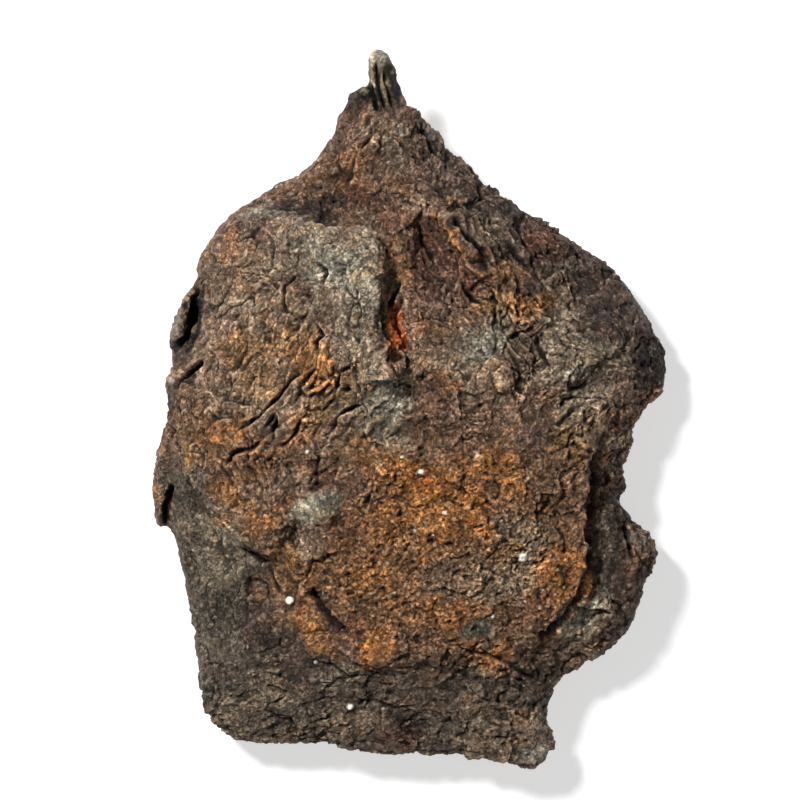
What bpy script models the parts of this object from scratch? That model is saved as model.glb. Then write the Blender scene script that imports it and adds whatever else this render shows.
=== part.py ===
"""Iron meteorite: one torn fragment lying on its back, modelled as one closed body.

The body is a plate cut to the fragment's outline. Its two faces are then moved to the heights of
the real faces: a high crest with a cleft beside it, a raised mass with a steep edge, thin torn rims
and a thumb-printed underside. The torn horn, the lip and the two flakes on the rim grow out of it.

X runs across the fragment, Y runs up to its peak and Z is up, out of the face that shows.
The origin is on the floor, under the middle of the fragment. Heights and places are millimetres
until the mesh is made, which is in metres.
"""

import math

import bmesh
import bpy
import numpy as np
from mathutils import Vector, noise

MM = 0.001

# ---------------------------------------------------------------------------------------------
# Driving dimensions, in millimetres
# ---------------------------------------------------------------------------------------------

PLATE_DEPTH = 12.0          # depth of the plate that the body is shaped from
PLATE_VOXEL = 0.9           # grid of the plate's skin
SKIN_VOXEL = 0.55           # grid that joins the body, the horn, the lip and the flakes
SKIN_SMOOTHING = 2          # passes that take the grid's steps off the skin
SKIN_GROWTH = 0.2           # gives back what the smoothing takes off
TRIANGLES = 7600            # triangles of the finished body

RIM_RADIUS = 3.2            # how far in from the edge the faces start to round over
RIM_DROP = 0.42             # share of the rim's thickness that the rounding takes
FOOT_HEIGHT = 0.45          # skin lower than this, after shaping, rests flat on the floor

LUMP_SIZE = 11.0            # wavelength of the coarse unevenness
LUMP_HEIGHT = 0.55
GRAIN_SIZE = 4.5            # wavelength of the finer unevenness
GRAIN_HEIGHT = 0.30
WANDER_SIZE = 6.0           # wavelength over which edges and folds wander off their lines
WANDER = 1.0
END_FADE = 3.0              # length over which an edge or a fold dies out at its ends

# ---------------------------------------------------------------------------------------------
# Outline, clockwise from the left tooth of the peak
# ---------------------------------------------------------------------------------------------

PEAK_RIGHT = [(-6.5, 43.7), (-5.7, 42.4), (-3.4, 40.6), (0.1, 40.1), (1.5, 38.9), (3.5, 36.7),
              (4.3, 34.6), (5.6, 33.1), (6.6, 33.6), (7.5, 32.6), (9.1, 30.4), (10.2, 29.1)]
SHOULDER = [(13.4, 27.1), (16.5, 25.2), (19.7, 23.7), (24.9, 20.4), (28.4, 17.4), (30.4, 14.2),
            (33.0, 9.8), (33.9, 7.9), (34.4, 5.8), (34.2, 3.4), (33.5, 1.9), (32.0, 1.5)]
BAY = [(30.7, 0.0), (29.5, -2.3), (28.8, -5.2), (28.0, -7.9), (27.5, -10.9), (27.9, -13.3),
       (29.1, -15.0), (30.8, -16.1)]
WING = [(32.2, -16.5), (32.7, -18.0), (32.2, -20.4), (31.2, -23.3), (30.0, -27.3), (28.7, -29.9),
        (26.8, -31.5), (24.4, -32.7), (22.6, -33.5), (22.4, -34.4), (20.9, -35.0), (19.6, -36.0)]
TAIL = [(18.5, -37.9), (18.1, -40.1), (18.5, -43.4), (18.5, -46.1), (17.6, -47.6), (16.2, -48.0),
        (14.3, -47.2), (11.7, -46.5)]
FOOT_EDGE = [(7.4, -46.3), (4.0, -46.0), (2.8, -46.6), (1.2, -45.7), (-2.7, -45.7), (-8.0, -45.1),
             (-14.7, -44.1), (-19.8, -44.4), (-23.3, -44.2), (-26.1, -42.5), (-27.4, -39.7)]
LEFT_EDGE = [(-28.3, -35.0), (-28.9, -30.2), (-29.6, -25.3), (-30.6, -20.6), (-31.4, -17.3),
             (-31.9, -14.3), (-32.6, -10.6), (-33.0, -6.6), (-32.6, -2.5), (-32.2, 1.5),
             (-31.9, 4.4), (-31.4, 8.2), (-30.2, 11.5), (-29.1, 14.9), (-28.0, 20.9)]
PEAK_LEFT = [(-26.4, 23.2), (-24.4, 25.6), (-22.0, 27.1), (-19.6, 28.7), (-17.4, 30.4),
             (-14.3, 31.4), (-12.7, 32.6), (-11.4, 34.3), (-10.1, 36.7), (-8.7, 39.7), (-7.8, 41.5)]
OUTLINE = PEAK_RIGHT + SHOULDER + BAY + WING + TAIL + FOOT_EDGE + LEFT_EDGE + PEAK_LEFT

# ---------------------------------------------------------------------------------------------
# Heights above the floor at chosen places: (x, y, height)
# ---------------------------------------------------------------------------------------------

UPPER_RIM = [(-5.0, 40.5, 12.4), (3.5, 35.5, 11.6), (9.0, 30.0, 11.4), (16.5, 24.5, 10.6),
             (24.5, 20.0, 9.2), (30.0, 13.5, 8.2), (33.6, 5.8, 7.6), (30.5, 0.5, 8.4),
             (27.6, -9.0, 9.0), (29.5, -15.5, 8.8), (32.0, -18.0, 8.4), (30.0, -26.5, 8.0),
             (26.0, -31.5, 8.0), (20.5, -34.8, 8.4), (17.6, -40.0, 8.2), (17.4, -47.0, 7.8),
             (7.0, -45.5, 8.2), (-5.0, -44.6, 8.0), (-15.0, -43.4, 7.8), (-25.0, -42.6, 7.2),
             (-28.0, -35.5, 7.6), (-29.8, -24.5, 8.0), (-31.6, -14.5, 8.4), (-32.6, -5.0, 8.6),
             (-31.6, 4.5, 8.8), (-29.6, 12.5, 8.8), (-26.4, 22.5, 9.2), (-19.0, 28.6, 10.2),
             (-12.0, 32.8, 11.4)]
LEFT_PLATE = [(-20.5, 16.0, 12.8), (-26.0, 10.0, 10.8), (-22.0, 3.0, 12.8), (-27.0, -4.0, 10.9),
              (-14.0, 10.0, 15.0), (-12.0, 0.0, 15.6), (-18.0, -7.5, 14.2), (-16.0, 21.0, 14.0)]
CREST = [(-8.0, 20.5, 16.2), (-6.0, 14.0, 17.2), (-5.0, 6.0, 17.6), (-1.2, -1.5, 17.4)]
PEAK_SLOPE = [(-1.5, 33.0, 13.0), (-10.0, 29.0, 12.6), (2.0, 28.5, 13.4), (-17.0, 26.5, 12.2)]
RIGHT_FACE = [(3.0, 19.0, 14.4), (9.0, 21.0, 14.2), (6.0, 10.0, 15.4), (16.0, 11.5, 13.8),
              (11.0, 3.0, 15.8), (19.0, 3.0, 14.0), (24.5, 12.5, 11.2), (27.5, 5.0, 10.8),
              (17.0, 18.5, 12.2), (22.0, -3.0, 12.6)]
RUST_MASS = [(5.0, -12.0, 15.2), (-7.0, -12.0, 15.0), (-14.0, -14.0, 13.6), (14.0, -12.0, 14.6),
             (20.0, -12.0, 12.4), (19.0, -21.0, 11.8), (9.0, -22.0, 13.8), (-1.0, -22.0, 13.8),
             (-8.0, -22.0, 12.8), (6.0, -29.0, 12.4)]
WING_FACE = [(27.0, -13.5, 11.0), (27.0, -20.0, 11.0), (25.5, -27.0, 10.6)]
LOWER_FACE = [(-25.5, -15.0, 10.6), (-22.0, -24.0, 10.8), (-22.0, -34.0, 10.4),
              (-13.0, -31.0, 11.4), (-12.0, -39.0, 10.4), (-2.0, -37.0, 11.4), (8.0, -37.0, 11.6),
              (13.0, -42.0, 10.0)]
UPPER_FACE = (UPPER_RIM + LEFT_PLATE + CREST + PEAK_SLOPE + RIGHT_FACE + RUST_MASS + WING_FACE
              + LOWER_FACE)

UNDER_RIM = [(-5.0, 41.0, 7.0), (8.0, 31.0, 4.4), (17.0, 25.0, 3.4), (25.0, 20.0, 3.6),
             (33.6, 5.8, 3.4), (29.0, -5.0, 2.4), (28.0, -13.0, 2.4), (32.0, -18.0, 2.8),
             (28.0, -30.0, 2.2), (19.5, -36.0, 2.4), (17.4, -47.0, 3.6), (7.0, -45.5, 3.4),
             (-5.0, -44.6, 2.6), (-15.0, -43.4, 2.8), (-26.0, -42.0, 2.6), (-29.5, -26.0, 2.2),
             (-32.0, -12.0, 2.8), (-32.6, 0.0, 3.2), (-29.6, 12.5, 3.2), (-25.0, 24.5, 3.8),
             (-12.0, 32.8, 4.6)]
UNDER_HIGH = [(0.0, -8.0, 2.6), (-16.0, -6.0, 2.0), (3.0, 26.0, 2.4), (0.0, -38.0, 2.2),
              (22.0, -8.0, 2.0), (-20.0, 10.0, 2.0), (24.0, 12.0, 1.6)]
UNDER_FEET = [(-18.0, -28.0, -0.7), (10.0, -28.0, -0.7), (-9.0, 21.0, -0.7), (14.0, 7.0, -0.6)]
UNDER_FACE = UNDER_RIM + UNDER_HIGH + UNDER_FEET

# ---------------------------------------------------------------------------------------------
# Forms on the upper face
# ---------------------------------------------------------------------------------------------

# Raised areas: (corners, height, width of the edge slope)
RUST_MASS_TOP = ([(-9.0, -9.0), (0.0, -4.5), (12.0, -5.5), (21.5, -3.5), (23.6, -7.0), (23.2, -12.0),
                  (23.5, -18.6), (23.0, -24.0), (20.0, -28.2), (15.6, -30.8), (8.5, -32.2),
                  (-1.3, -34.0), (-7.0, -33.2), (-10.7, -30.0), (-14.5, -24.0), (-15.8, -19.5),
                  (-13.5, -14.0)], 1.0, 4.5)
LEFT_PLATE_TOP = ([(-24.5, 24.8), (-21.4, 25.6), (-16.1, 24.4), (-10.7, 22.9), (-5.0, 21.6),
                   (-4.0, 14.0), (-3.0, 6.0), (-2.0, 0.0), (-8.0, -8.0), (-14.0, -15.0),
                   (-21.0, -17.0), (-27.0, -11.0), (-31.0, -8.0), (-31.5, 0.0), (-30.0, 10.0),
                   (-27.0, 20.0)], 0.8, 2.6)
RAISED_AREAS = [RUST_MASS_TOP, LEFT_PLATE_TOP]

# Steep edges, with the high side on the left of the way they run:
# (points, width of the steep side, reach of the high side, height)
MASS_RIGHT_EDGE = ([(14.0, -31.2), (20.1, -28.2), (23.0, -24.0), (23.6, -18.6), (23.4, -12.0),
                    (24.0, -7.2), (22.6, -3.0)], 1.1, 9.0, 1.6)
MASS_LOWER_EDGE = ([(-16.4, -17.0), (-14.9, -23.5), (-10.9, -30.4), (-6.7, -33.4), (-1.3, -34.0),
                    (8.6, -32.2), (14.4, -31.2)], 2.0, 8.0, 0.8)
PLATE_LOWER_EDGE = ([(-31.0, -8.2), (-27.4, -10.6), (-22.2, -17.0), (-16.6, -19.6)], 1.5, 6.0, 1.3)
LEDGE_EDGE = ([(-3.6, 22.2), (-10.7, 23.4), (-16.1, 25.0), (-21.4, 26.6), (-24.6, 26.0)],
              1.4, 5.0, 1.5)
CREST_EDGE = ([(-1.0, 2.4), (-2.9, 9.4), (-3.8, 15.8), (-3.6, 22.4)], 1.3, 4.0, 1.4)
ARCH_EDGE = ([(-1.8, 23.0), (1.2, 25.7), (4.4, 24.3), (7.6, 19.8), (11.6, 15.0), (15.6, 10.6)],
             1.3, 3.6, 1.3)
RIDGE_EDGE = ([(12.6, -4.6), (20.0, -3.2), (26.6, 0.9), (31.8, 2.0)], 1.5, 4.5, 0.9)
STEEP_EDGES = [MASS_RIGHT_EDGE, MASS_LOWER_EDGE, PLATE_LOWER_EDGE, LEDGE_EDGE, CREST_EDGE,
               ARCH_EDGE, RIDGE_EDGE]

# Raised lines (height above zero) and sunk lines (height below zero): (points, width, height)
LEDGE_HOLLOW = ([(-19.0, 28.2), (-13.0, 27.2), (-8.0, 26.2), (-2.0, 24.6)], 2.6, -1.7)
CREST_BAND = ([(-9.5, 22.4), (-6.4, 16.0), (-5.2, 9.0), (-1.8, 0.0)], 2.2, 0.8)
CLEFT = ([(-3.0, 20.0), (-2.8, 15.0), (-2.2, 10.5), (-1.0, 4.6)], 1.1, -2.2)
ARCH_HOLLOW = ([(-0.4, 23.4), (2.2, 21.0), (4.8, 15.6)], 2.4, -1.8)
SHOULDER_RIDGE = ([(8.0, 26.0), (16.0, 19.8), (22.5, 13.6), (28.5, 6.6)], 2.0, 1.0)
SHOULDER_TROUGH = ([(10.5, 21.5), (18.5, 13.8), (23.5, 5.5)], 1.8, -0.9)
LOWER_RIDGE = ([(32.6, 1.8), (26.8, 0.1), (20.1, -3.9), (11.0, -5.4)], 1.8, 0.7)
RIGHT_TROUGH = ([(28.0, 5.8), (20.5, 0.6), (13.0, -1.6)], 1.9, -1.2)
BOSS_CRACK = ([(14.3, 11.6), (16.6, 6.8), (17.4, 1.6)], 1.0, -1.4)
PLATE_FOLD = ([(-8.4, 10.0), (-13.6, 2.4), (-19.0, -3.0), (-25.6, -7.6)], 2.2, 0.5)
PLATE_TROUGH = ([(-7.0, 5.4), (-12.4, -2.0), (-17.6, -7.0), (-22.9, -11.0)], 2.2, -0.6)
UPPER_FOLD = ([(-11.5, 17.0), (-17.6, 9.6), (-24.0, 4.0)], 2.4, 0.4)
MASS_CRACK = ([(-14.0, -22.0), (-11.2, -27.6), (-8.3, -31.8)], 1.0, -1.7)
WING_RIDGE = ([(28.4, -6.0), (28.8, -14.6), (30.6, -19.5), (28.2, -28.2)], 1.5, 0.9)
WING_TROUGH = ([(25.4, -8.0), (25.8, -18.0), (22.6, -29.0)], 1.4, -0.8)
FOOT_NOTCH = ([(0.9, -39.8), (0.7, -46.0)], 1.4, -1.6)
LINES = [LEDGE_HOLLOW, CREST_BAND, CLEFT, ARCH_HOLLOW, SHOULDER_RIDGE, SHOULDER_TROUGH,
         LOWER_RIDGE, RIGHT_TROUGH, BOSS_CRACK, PLATE_FOLD, PLATE_TROUGH, UPPER_FOLD, MASS_CRACK,
         WING_RIDGE, WING_TROUGH, FOOT_NOTCH]

# Round forms on the upper face: (x, y, radius, height)
ROUND_BOSS = (10.7, 4.2, 2.6, 1.0)
PALE_PATCH = (-12.7, -13.3, 2.6, 0.7)
LEDGE_PIT = (-10.7, 26.9, 3.6, -0.9)
ROUND_FORMS = [ROUND_BOSS, PALE_PATCH, LEDGE_PIT]

# Thumb prints on the underside: (x, y, radius, depth)
THUMB_PRINTS = [(-22.0, 2.0, 8.0, 1.5), (-12.0, 8.5, 7.0, 1.4), (1.0, 14.0, 8.0, 1.7),
                (23.0, 16.0, 7.5, 1.3), (25.5, 1.0, 7.0, 1.3), (4.0, -2.0, 7.5, 1.5),
                (-10.0, -9.0, 8.5, 1.7), (-23.0, -12.0, 7.5, 1.3), (12.0, -12.0, 8.5, 1.6),
                (25.0, -22.0, 6.5, 1.0), (-4.0, -24.0, 8.0, 1.5), (-3.0, -37.5, 7.5, 1.3),
                (-23.0, -38.0, 5.5, 1.0), (11.0, -40.0, 6.5, 1.2), (-2.0, 31.0, 6.5, 1.3),
                (-19.0, 20.0, 6.0, 1.1)]

# ---------------------------------------------------------------------------------------------
# Slivers torn out of the rim: (points x, y, z), half widths in plan, half heights, ribs
# ---------------------------------------------------------------------------------------------

HORN = ([(-3.2, 37.4, 9.2), (-3.1, 40.6, 9.8), (-3.7, 43.4, 10.9), (-4.2, 45.8, 12.2),
         (-4.3, 47.5, 13.4)], [2.4, 2.0, 1.8, 1.55, 1.1], [2.2, 1.9, 1.5, 1.2, 0.9], 3)
LEFT_LIP = ([(-31.8, -0.5, 6.0), (-32.4, -4.0, 6.0), (-33.3, -8.6, 5.8), (-33.5, -12.4, 5.6),
             (-33.1, -15.6, 5.4)], [1.0, 1.1, 1.1, 1.0, 0.7], [2.2, 2.6, 2.6, 2.3, 1.4], 0)
UPPER_FLAKE = ([(-28.3, 17.0, 7.4), (-29.6, 15.0, 7.6), (-30.7, 12.0, 7.5), (-31.3, 9.4, 7.1),
                (-31.0, 7.8, 6.6)], [0.6, 0.7, 0.75, 0.75, 0.7], [1.2, 2.4, 2.8, 2.4, 1.4], 0)
LOWER_FLAKE = ([(-27.6, 6.4, 8.8), (-29.6, 5.2, 8.5), (-31.4, 3.8, 7.9), (-32.4, 2.8, 7.3)],
               [1.0, 1.3, 1.2, 0.7], [0.9, 1.0, 1.0, 0.8], 0)
SLIVERS = [HORN, LEFT_LIP, UPPER_FLAKE, LOWER_FLAKE]
SLIVER_SIDES = 14
SLIVER_RINGS = 13
RIB_DEPTH = 0.16

# ---------------------------------------------------------------------------------------------
# Material
# ---------------------------------------------------------------------------------------------

CRUST_COLOUR = (0.155, 0.096, 0.063, 1.0)
CRUST_ROUGHNESS = 0.72
CRUST_METALLIC = 0.25


def clear_scene():
    """Remove every object that is in the scene."""
    for leftover in list(bpy.data.objects):
        bpy.data.objects.remove(leftover, do_unlink=True)


def smooth_step(value):
    """Return 0 below 0, 1 above 1 and an even slope between."""
    held = np.clip(value, 0.0, 1.0)
    return held * held * (3.0 - 2.0 * held)


def distance_to_line(points, x, y):
    """Return each place's distance from a run of straight pieces, and its share of the full effect.

    The distance is above zero on the left of the way the line runs and below zero on the right.
    The share is 1 along the line and falls to 0 at its two ends.
    """
    nearest = np.full(x.shape, np.inf)
    side = np.ones(x.shape)
    walked = np.zeros(x.shape)
    length = 0.0
    for (ax, ay), (bx, by) in zip(points[:-1], points[1:]):
        run_x, run_y = bx - ax, by - ay
        run = math.hypot(run_x, run_y)
        along = np.clip(((x - ax) * run_x + (y - ay) * run_y) / run ** 2, 0.0, 1.0)
        gap_x, gap_y = x - ax - along * run_x, y - ay - along * run_y
        gap = np.hypot(gap_x, gap_y)
        closer = gap < nearest
        side = np.where(closer, np.where(run_x * gap_y < run_y * gap_x, -1.0, 1.0), side)
        walked = np.where(closer, length + along * run, walked)
        nearest = np.where(closer, gap, nearest)
        length += run
    fade = smooth_step(walked / END_FADE) * smooth_step((length - walked) / END_FADE)
    return side * nearest, fade


def is_inside(corners, x, y):
    """Return which places lie inside a closed outline."""
    inside = np.zeros(x.shape, dtype=bool)
    for (ax, ay), (bx, by) in zip(corners, corners[1:] + corners[:1]):
        if ay == by:
            continue
        crosses = (ay > y) != (by > y)
        inside ^= crosses & (x < ax + (y - ay) * (bx - ax) / (by - ay))
    return inside


def depth_inside(corners, x, y):
    """Return the distance to a closed outline, above zero inside it and below zero outside."""
    gap = np.abs(distance_to_line(corners + corners[:1], x, y)[0])
    return np.where(is_inside(corners, x, y), gap, -gap)


def plate_bending(gap):
    """Return the bending shape of a thin plate at this distance from a support."""
    safe = np.maximum(gap, 1e-9)
    return safe * safe * np.log(safe)


def smooth_surface(places, x, y):
    """Return the heights at x, y of a thin plate bent smoothly through the places."""
    px, py, height = (np.array(column) for column in zip(*places))
    count = len(places)
    system = np.zeros((count + 3, count + 3))
    system[:count, :count] = plate_bending(np.hypot(px[:, None] - px, py[:, None] - py))
    system[:count, count:] = np.column_stack((np.ones(count), px, py))
    system[count:, :count] = system[:count, count:].T
    weights = np.linalg.solve(system, np.concatenate((height, np.zeros(3))))
    result = weights[count] + weights[count + 1] * x + weights[count + 2] * y
    for index in range(count):
        result = result + weights[index] * plate_bending(np.hypot(x - px[index], y - py[index]))
    return result


def noise_at(x, y, size, layer):
    """Return smooth noise from -1 to 1 with this wavelength, one layer of it for each number."""
    values = [noise.noise(Vector((px, py, layer))) for px, py in zip(x / size, y / size)]
    return np.array(values)


def unevenness(x, y, layer):
    """Return the uneven lumps of one face of the crust."""
    coarse = noise_at(x, y, LUMP_SIZE, layer)
    fine = noise_at(x, y, GRAIN_SIZE, layer + 7.0)
    return LUMP_HEIGHT * coarse + GRAIN_HEIGHT * fine


def upper_height(x, y):
    """Return the height of the upper face above the floor."""
    height = smooth_surface(UPPER_FACE, x, y) + unevenness(x, y, 3.0)
    wandered_x = x + WANDER * noise_at(x, y, WANDER_SIZE, 20.0)
    wandered_y = y + WANDER * noise_at(x, y, WANDER_SIZE, 30.0)
    for corners, rise, slope in RAISED_AREAS:
        inward = depth_inside(corners, wandered_x, wandered_y)
        height = height + rise * smooth_step(0.5 + inward / slope)
    for points, steep, reach, rise in STEEP_EDGES:
        gap, fade = distance_to_line(points, wandered_x, wandered_y)
        slope = smooth_step(0.5 + gap / steep) * np.exp(-(np.maximum(gap, 0.0) / reach) ** 2)
        height = height + rise * slope * fade
    for points, width, rise in LINES:
        gap, fade = distance_to_line(points, wandered_x, wandered_y)
        height = height + rise * np.exp(-(gap / width) ** 2) * fade
    for px, py, radius, rise in ROUND_FORMS:
        gap = np.hypot(wandered_x - px, wandered_y - py)
        height = height + rise * smooth_step(1.25 - gap / radius)
    return height


def under_height(x, y):
    """Return the height of the underside above the floor."""
    height = smooth_surface(UNDER_FACE, x, y)
    for px, py, radius, depth in THUMB_PRINTS:
        reach = np.clip(1.0 - (np.hypot(x - px, y - py) / radius) ** 2, 0.0, 1.0)
        height = height + depth * reach * reach
    return height + unevenness(x, y, 11.0)


def finished_mesh(source, modifiers):
    """Return the mesh that an object of this mesh has after the given modifiers."""
    worker = bpy.data.objects.new("worker", source)
    bpy.context.collection.objects.link(worker)
    for kind, settings in modifiers:
        modifier = worker.modifiers.new(kind, kind)
        for name, value in settings.items():
            setattr(modifier, name, value)
    graph = bpy.context.evaluated_depsgraph_get()
    result = bpy.data.meshes.new_from_object(worker.evaluated_get(graph))
    bpy.data.objects.remove(worker, do_unlink=True)
    bpy.data.meshes.remove(source)
    return result


def plate_mesh():
    """Make the flat plate with the fragment's outline, skinned with an even grid."""
    bm = bmesh.new()
    floor = [bm.verts.new((x * MM, y * MM, -0.5 * PLATE_DEPTH * MM)) for x, y in OUTLINE]
    bottom = bm.faces.new(floor)
    raised = bmesh.ops.extrude_face_region(bm, geom=[bottom])["geom"]
    top = [item for item in raised if isinstance(item, bmesh.types.BMVert)]
    bmesh.ops.translate(bm, verts=top, vec=(0.0, 0.0, PLATE_DEPTH * MM))
    bmesh.ops.recalc_face_normals(bm, faces=bm.faces)
    plate = bpy.data.meshes.new("plate")
    bm.to_mesh(plate)
    bm.free()
    return finished_mesh(plate, [("REMESH", {"mode": "VOXEL", "voxel_size": PLATE_VOXEL * MM})])


def shape_faces(mesh):
    """Move the plate's two faces to the heights of the real faces, with a rounded rim."""
    flat = np.empty(3 * len(mesh.vertices))
    mesh.vertices.foreach_get("co", flat)
    place = flat.reshape(-1, 3) / MM
    x, y = place[:, 0].copy(), place[:, 1].copy()
    share = np.clip(place[:, 2] / PLATE_DEPTH + 0.5, 0.0, 1.0)
    top = upper_height(x, y)
    bottom = under_height(x, y)
    inward = np.clip(depth_inside(OUTLINE, x, y) / RIM_RADIUS, 0.0, 1.0)
    rounding = 1.0 - np.sqrt(1.0 - (1.0 - inward) ** 2)
    pinch = 0.5 * RIM_DROP * rounding * (top - bottom)
    place[:, 2] = (bottom + pinch) + share * (top - bottom - 2.0 * pinch)
    mesh.vertices.foreach_set("co", (place * MM).ravel())
    mesh.update()


def sliver_mesh(points, half_widths, half_heights, ribs):
    """Make one torn sliver: rings of an uneven oval along a bent line, closed at both ends."""
    stops = np.linspace(0.0, 1.0, len(points))
    steps = np.linspace(0.0, 1.0, SLIVER_RINGS)
    path = np.array([np.interp(steps, stops, axis) for axis in zip(*points)]).T
    widths = np.interp(steps, stops, half_widths)
    heights = np.interp(steps, stops, half_heights)
    directions = np.gradient(path, axis=0)
    bm = bmesh.new()
    rings = []
    for centre, direction, width, height in zip(path, directions, widths, heights):
        forward = Vector(direction).normalized()
        across = forward.cross(Vector((0.0, 0.0, 1.0))).normalized()
        upward = across.cross(forward)
        ring = []
        for side in range(SLIVER_SIDES):
            angle = 2.0 * math.pi * side / SLIVER_SIDES
            swell = 1.0 + RIB_DEPTH * math.cos(ribs * angle) if ribs else 1.0
            offset = across * (width * math.cos(angle)) + upward * (height * math.sin(angle))
            ring.append(bm.verts.new((Vector(centre) + offset * swell) * MM))
        rings.append(ring)
    for first, second in zip(rings[:-1], rings[1:]):
        for side in range(SLIVER_SIDES):
            after = (side + 1) % SLIVER_SIDES
            bm.faces.new((first[side], first[after], second[after], second[side]))
    bm.faces.new(rings[0])
    bm.faces.new(rings[-1])
    bmesh.ops.recalc_face_normals(bm, faces=bm.faces)
    sliver = bpy.data.meshes.new("sliver")
    bm.to_mesh(sliver)
    bm.free()
    return sliver


def joined_mesh(meshes):
    """Put several meshes into one."""
    bm = bmesh.new()
    for mesh in meshes:
        bm.from_mesh(mesh)
        bpy.data.meshes.remove(mesh)
    whole = bpy.data.meshes.new("whole")
    bm.to_mesh(whole)
    bm.free()
    return whole


def keep_largest_piece(mesh):
    """Remove any crumb that isn't joined to the body."""
    bm = bmesh.new()
    bm.from_mesh(mesh)
    unseen = set(bm.verts)
    pieces = []
    while unseen:
        edge_of_search = [unseen.pop()]
        piece = []
        while edge_of_search:
            vert = edge_of_search.pop()
            piece.append(vert)
            for edge in vert.link_edges:
                other = edge.other_vert(vert)
                if other in unseen:
                    unseen.remove(other)
                    edge_of_search.append(other)
        pieces.append(piece)
    pieces.sort(key=len)
    crumbs = [vert for piece in pieces[:-1] for vert in piece]
    bmesh.ops.delete(bm, geom=crumbs, context="VERTS")
    bm.to_mesh(mesh)
    bm.free()


def stand_on_floor(mesh):
    """Centre the body over the origin and press its lowest skin flat on the floor."""
    flat = np.empty(3 * len(mesh.vertices))
    mesh.vertices.foreach_get("co", flat)
    place = flat.reshape(-1, 3)
    middle = 0.5 * (place.min(axis=0) + place.max(axis=0))
    place[:, 0] -= middle[0]
    place[:, 1] -= middle[1]
    place[:, 2] = np.where(place[:, 2] < FOOT_HEIGHT * MM, 0.0, place[:, 2])
    mesh.vertices.foreach_set("co", place.ravel())
    mesh.update()


def crust_material():
    """Make the rusted iron of the crust."""
    material = bpy.data.materials.new("rusted_iron_crust")
    material.use_nodes = True
    shader = material.node_tree.nodes["Principled BSDF"]
    shader.inputs["Base Color"].default_value = CRUST_COLOUR
    shader.inputs["Roughness"].default_value = CRUST_ROUGHNESS
    shader.inputs["Metallic"].default_value = CRUST_METALLIC
    return material


def skin_mesh():
    """Join the shaped body and its slivers under one skin and thin it out."""
    body = plate_mesh()
    shape_faces(body)
    whole = joined_mesh([body] + [sliver_mesh(*sliver) for sliver in SLIVERS])
    skin = finished_mesh(whole, [
        ("REMESH", {"mode": "VOXEL", "voxel_size": SKIN_VOXEL * MM}),
        ("SMOOTH", {"factor": 0.5, "iterations": SKIN_SMOOTHING}),
        ("DISPLACE", {"strength": SKIN_GROWTH * MM, "mid_level": 0.0}),
    ])
    keep_largest_piece(skin)
    skin.calc_loop_triangles()
    share = TRIANGLES / len(skin.loop_triangles)
    thinned = finished_mesh(skin, [
        ("TRIANGULATE", {}),
        ("DECIMATE", {"decimate_type": "COLLAPSE", "ratio": share}),
    ])
    return thinned


def make_meteorite():
    """Make the one piece of the part."""
    mesh = skin_mesh()
    stand_on_floor(mesh)
    mesh.name = "meteorite"
    mesh.materials.append(crust_material())
    mesh.shade_smooth()
    meteorite = bpy.data.objects.new("meteorite", mesh)
    bpy.context.collection.objects.link(meteorite)
    return meteorite


clear_scene()
make_meteorite()
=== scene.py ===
"""Iron meteorite: the detailed model of a torn and rusted fragment, and the stage it lies on.

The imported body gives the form. Its skin is laid over it again as a fine, even mesh, and this mesh
is then broken up the way rusted iron is: steep edges and folds, cracks, chips, crumbs and pits.
X runs across the fragment, Y up to its peak and Z up. Places on the fragment are millimetres.
"""

import functools
import itertools
import math

import bpy
import numpy as np
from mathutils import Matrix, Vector


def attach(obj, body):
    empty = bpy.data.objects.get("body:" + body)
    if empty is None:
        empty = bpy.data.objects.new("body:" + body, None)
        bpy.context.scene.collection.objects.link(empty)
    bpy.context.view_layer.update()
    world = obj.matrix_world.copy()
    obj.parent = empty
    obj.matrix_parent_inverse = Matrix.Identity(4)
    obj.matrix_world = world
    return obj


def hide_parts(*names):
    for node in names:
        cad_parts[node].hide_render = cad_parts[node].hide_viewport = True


bl_info = {
    "name": "Iron Meteorite",
    "version": (1, 0, 0),
    "blender": (4, 5, 0),
    "location": "View3D > Sidebar > Meteorite",
    "description": "Builds a torn, rusted iron meteorite and the stage it lies on",
    "category": "Add Mesh",
}

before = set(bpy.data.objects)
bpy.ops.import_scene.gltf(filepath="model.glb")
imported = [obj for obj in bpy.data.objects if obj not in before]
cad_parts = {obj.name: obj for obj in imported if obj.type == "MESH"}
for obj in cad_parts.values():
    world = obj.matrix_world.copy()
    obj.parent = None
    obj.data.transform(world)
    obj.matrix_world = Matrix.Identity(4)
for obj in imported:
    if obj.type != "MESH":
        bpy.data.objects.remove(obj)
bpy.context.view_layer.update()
CAD_NODE = "meteorite"
BODY = "root"

MM = 0.001
MM_PER_M = 1000.0

# --- Forms, in millimetres ---

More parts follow.
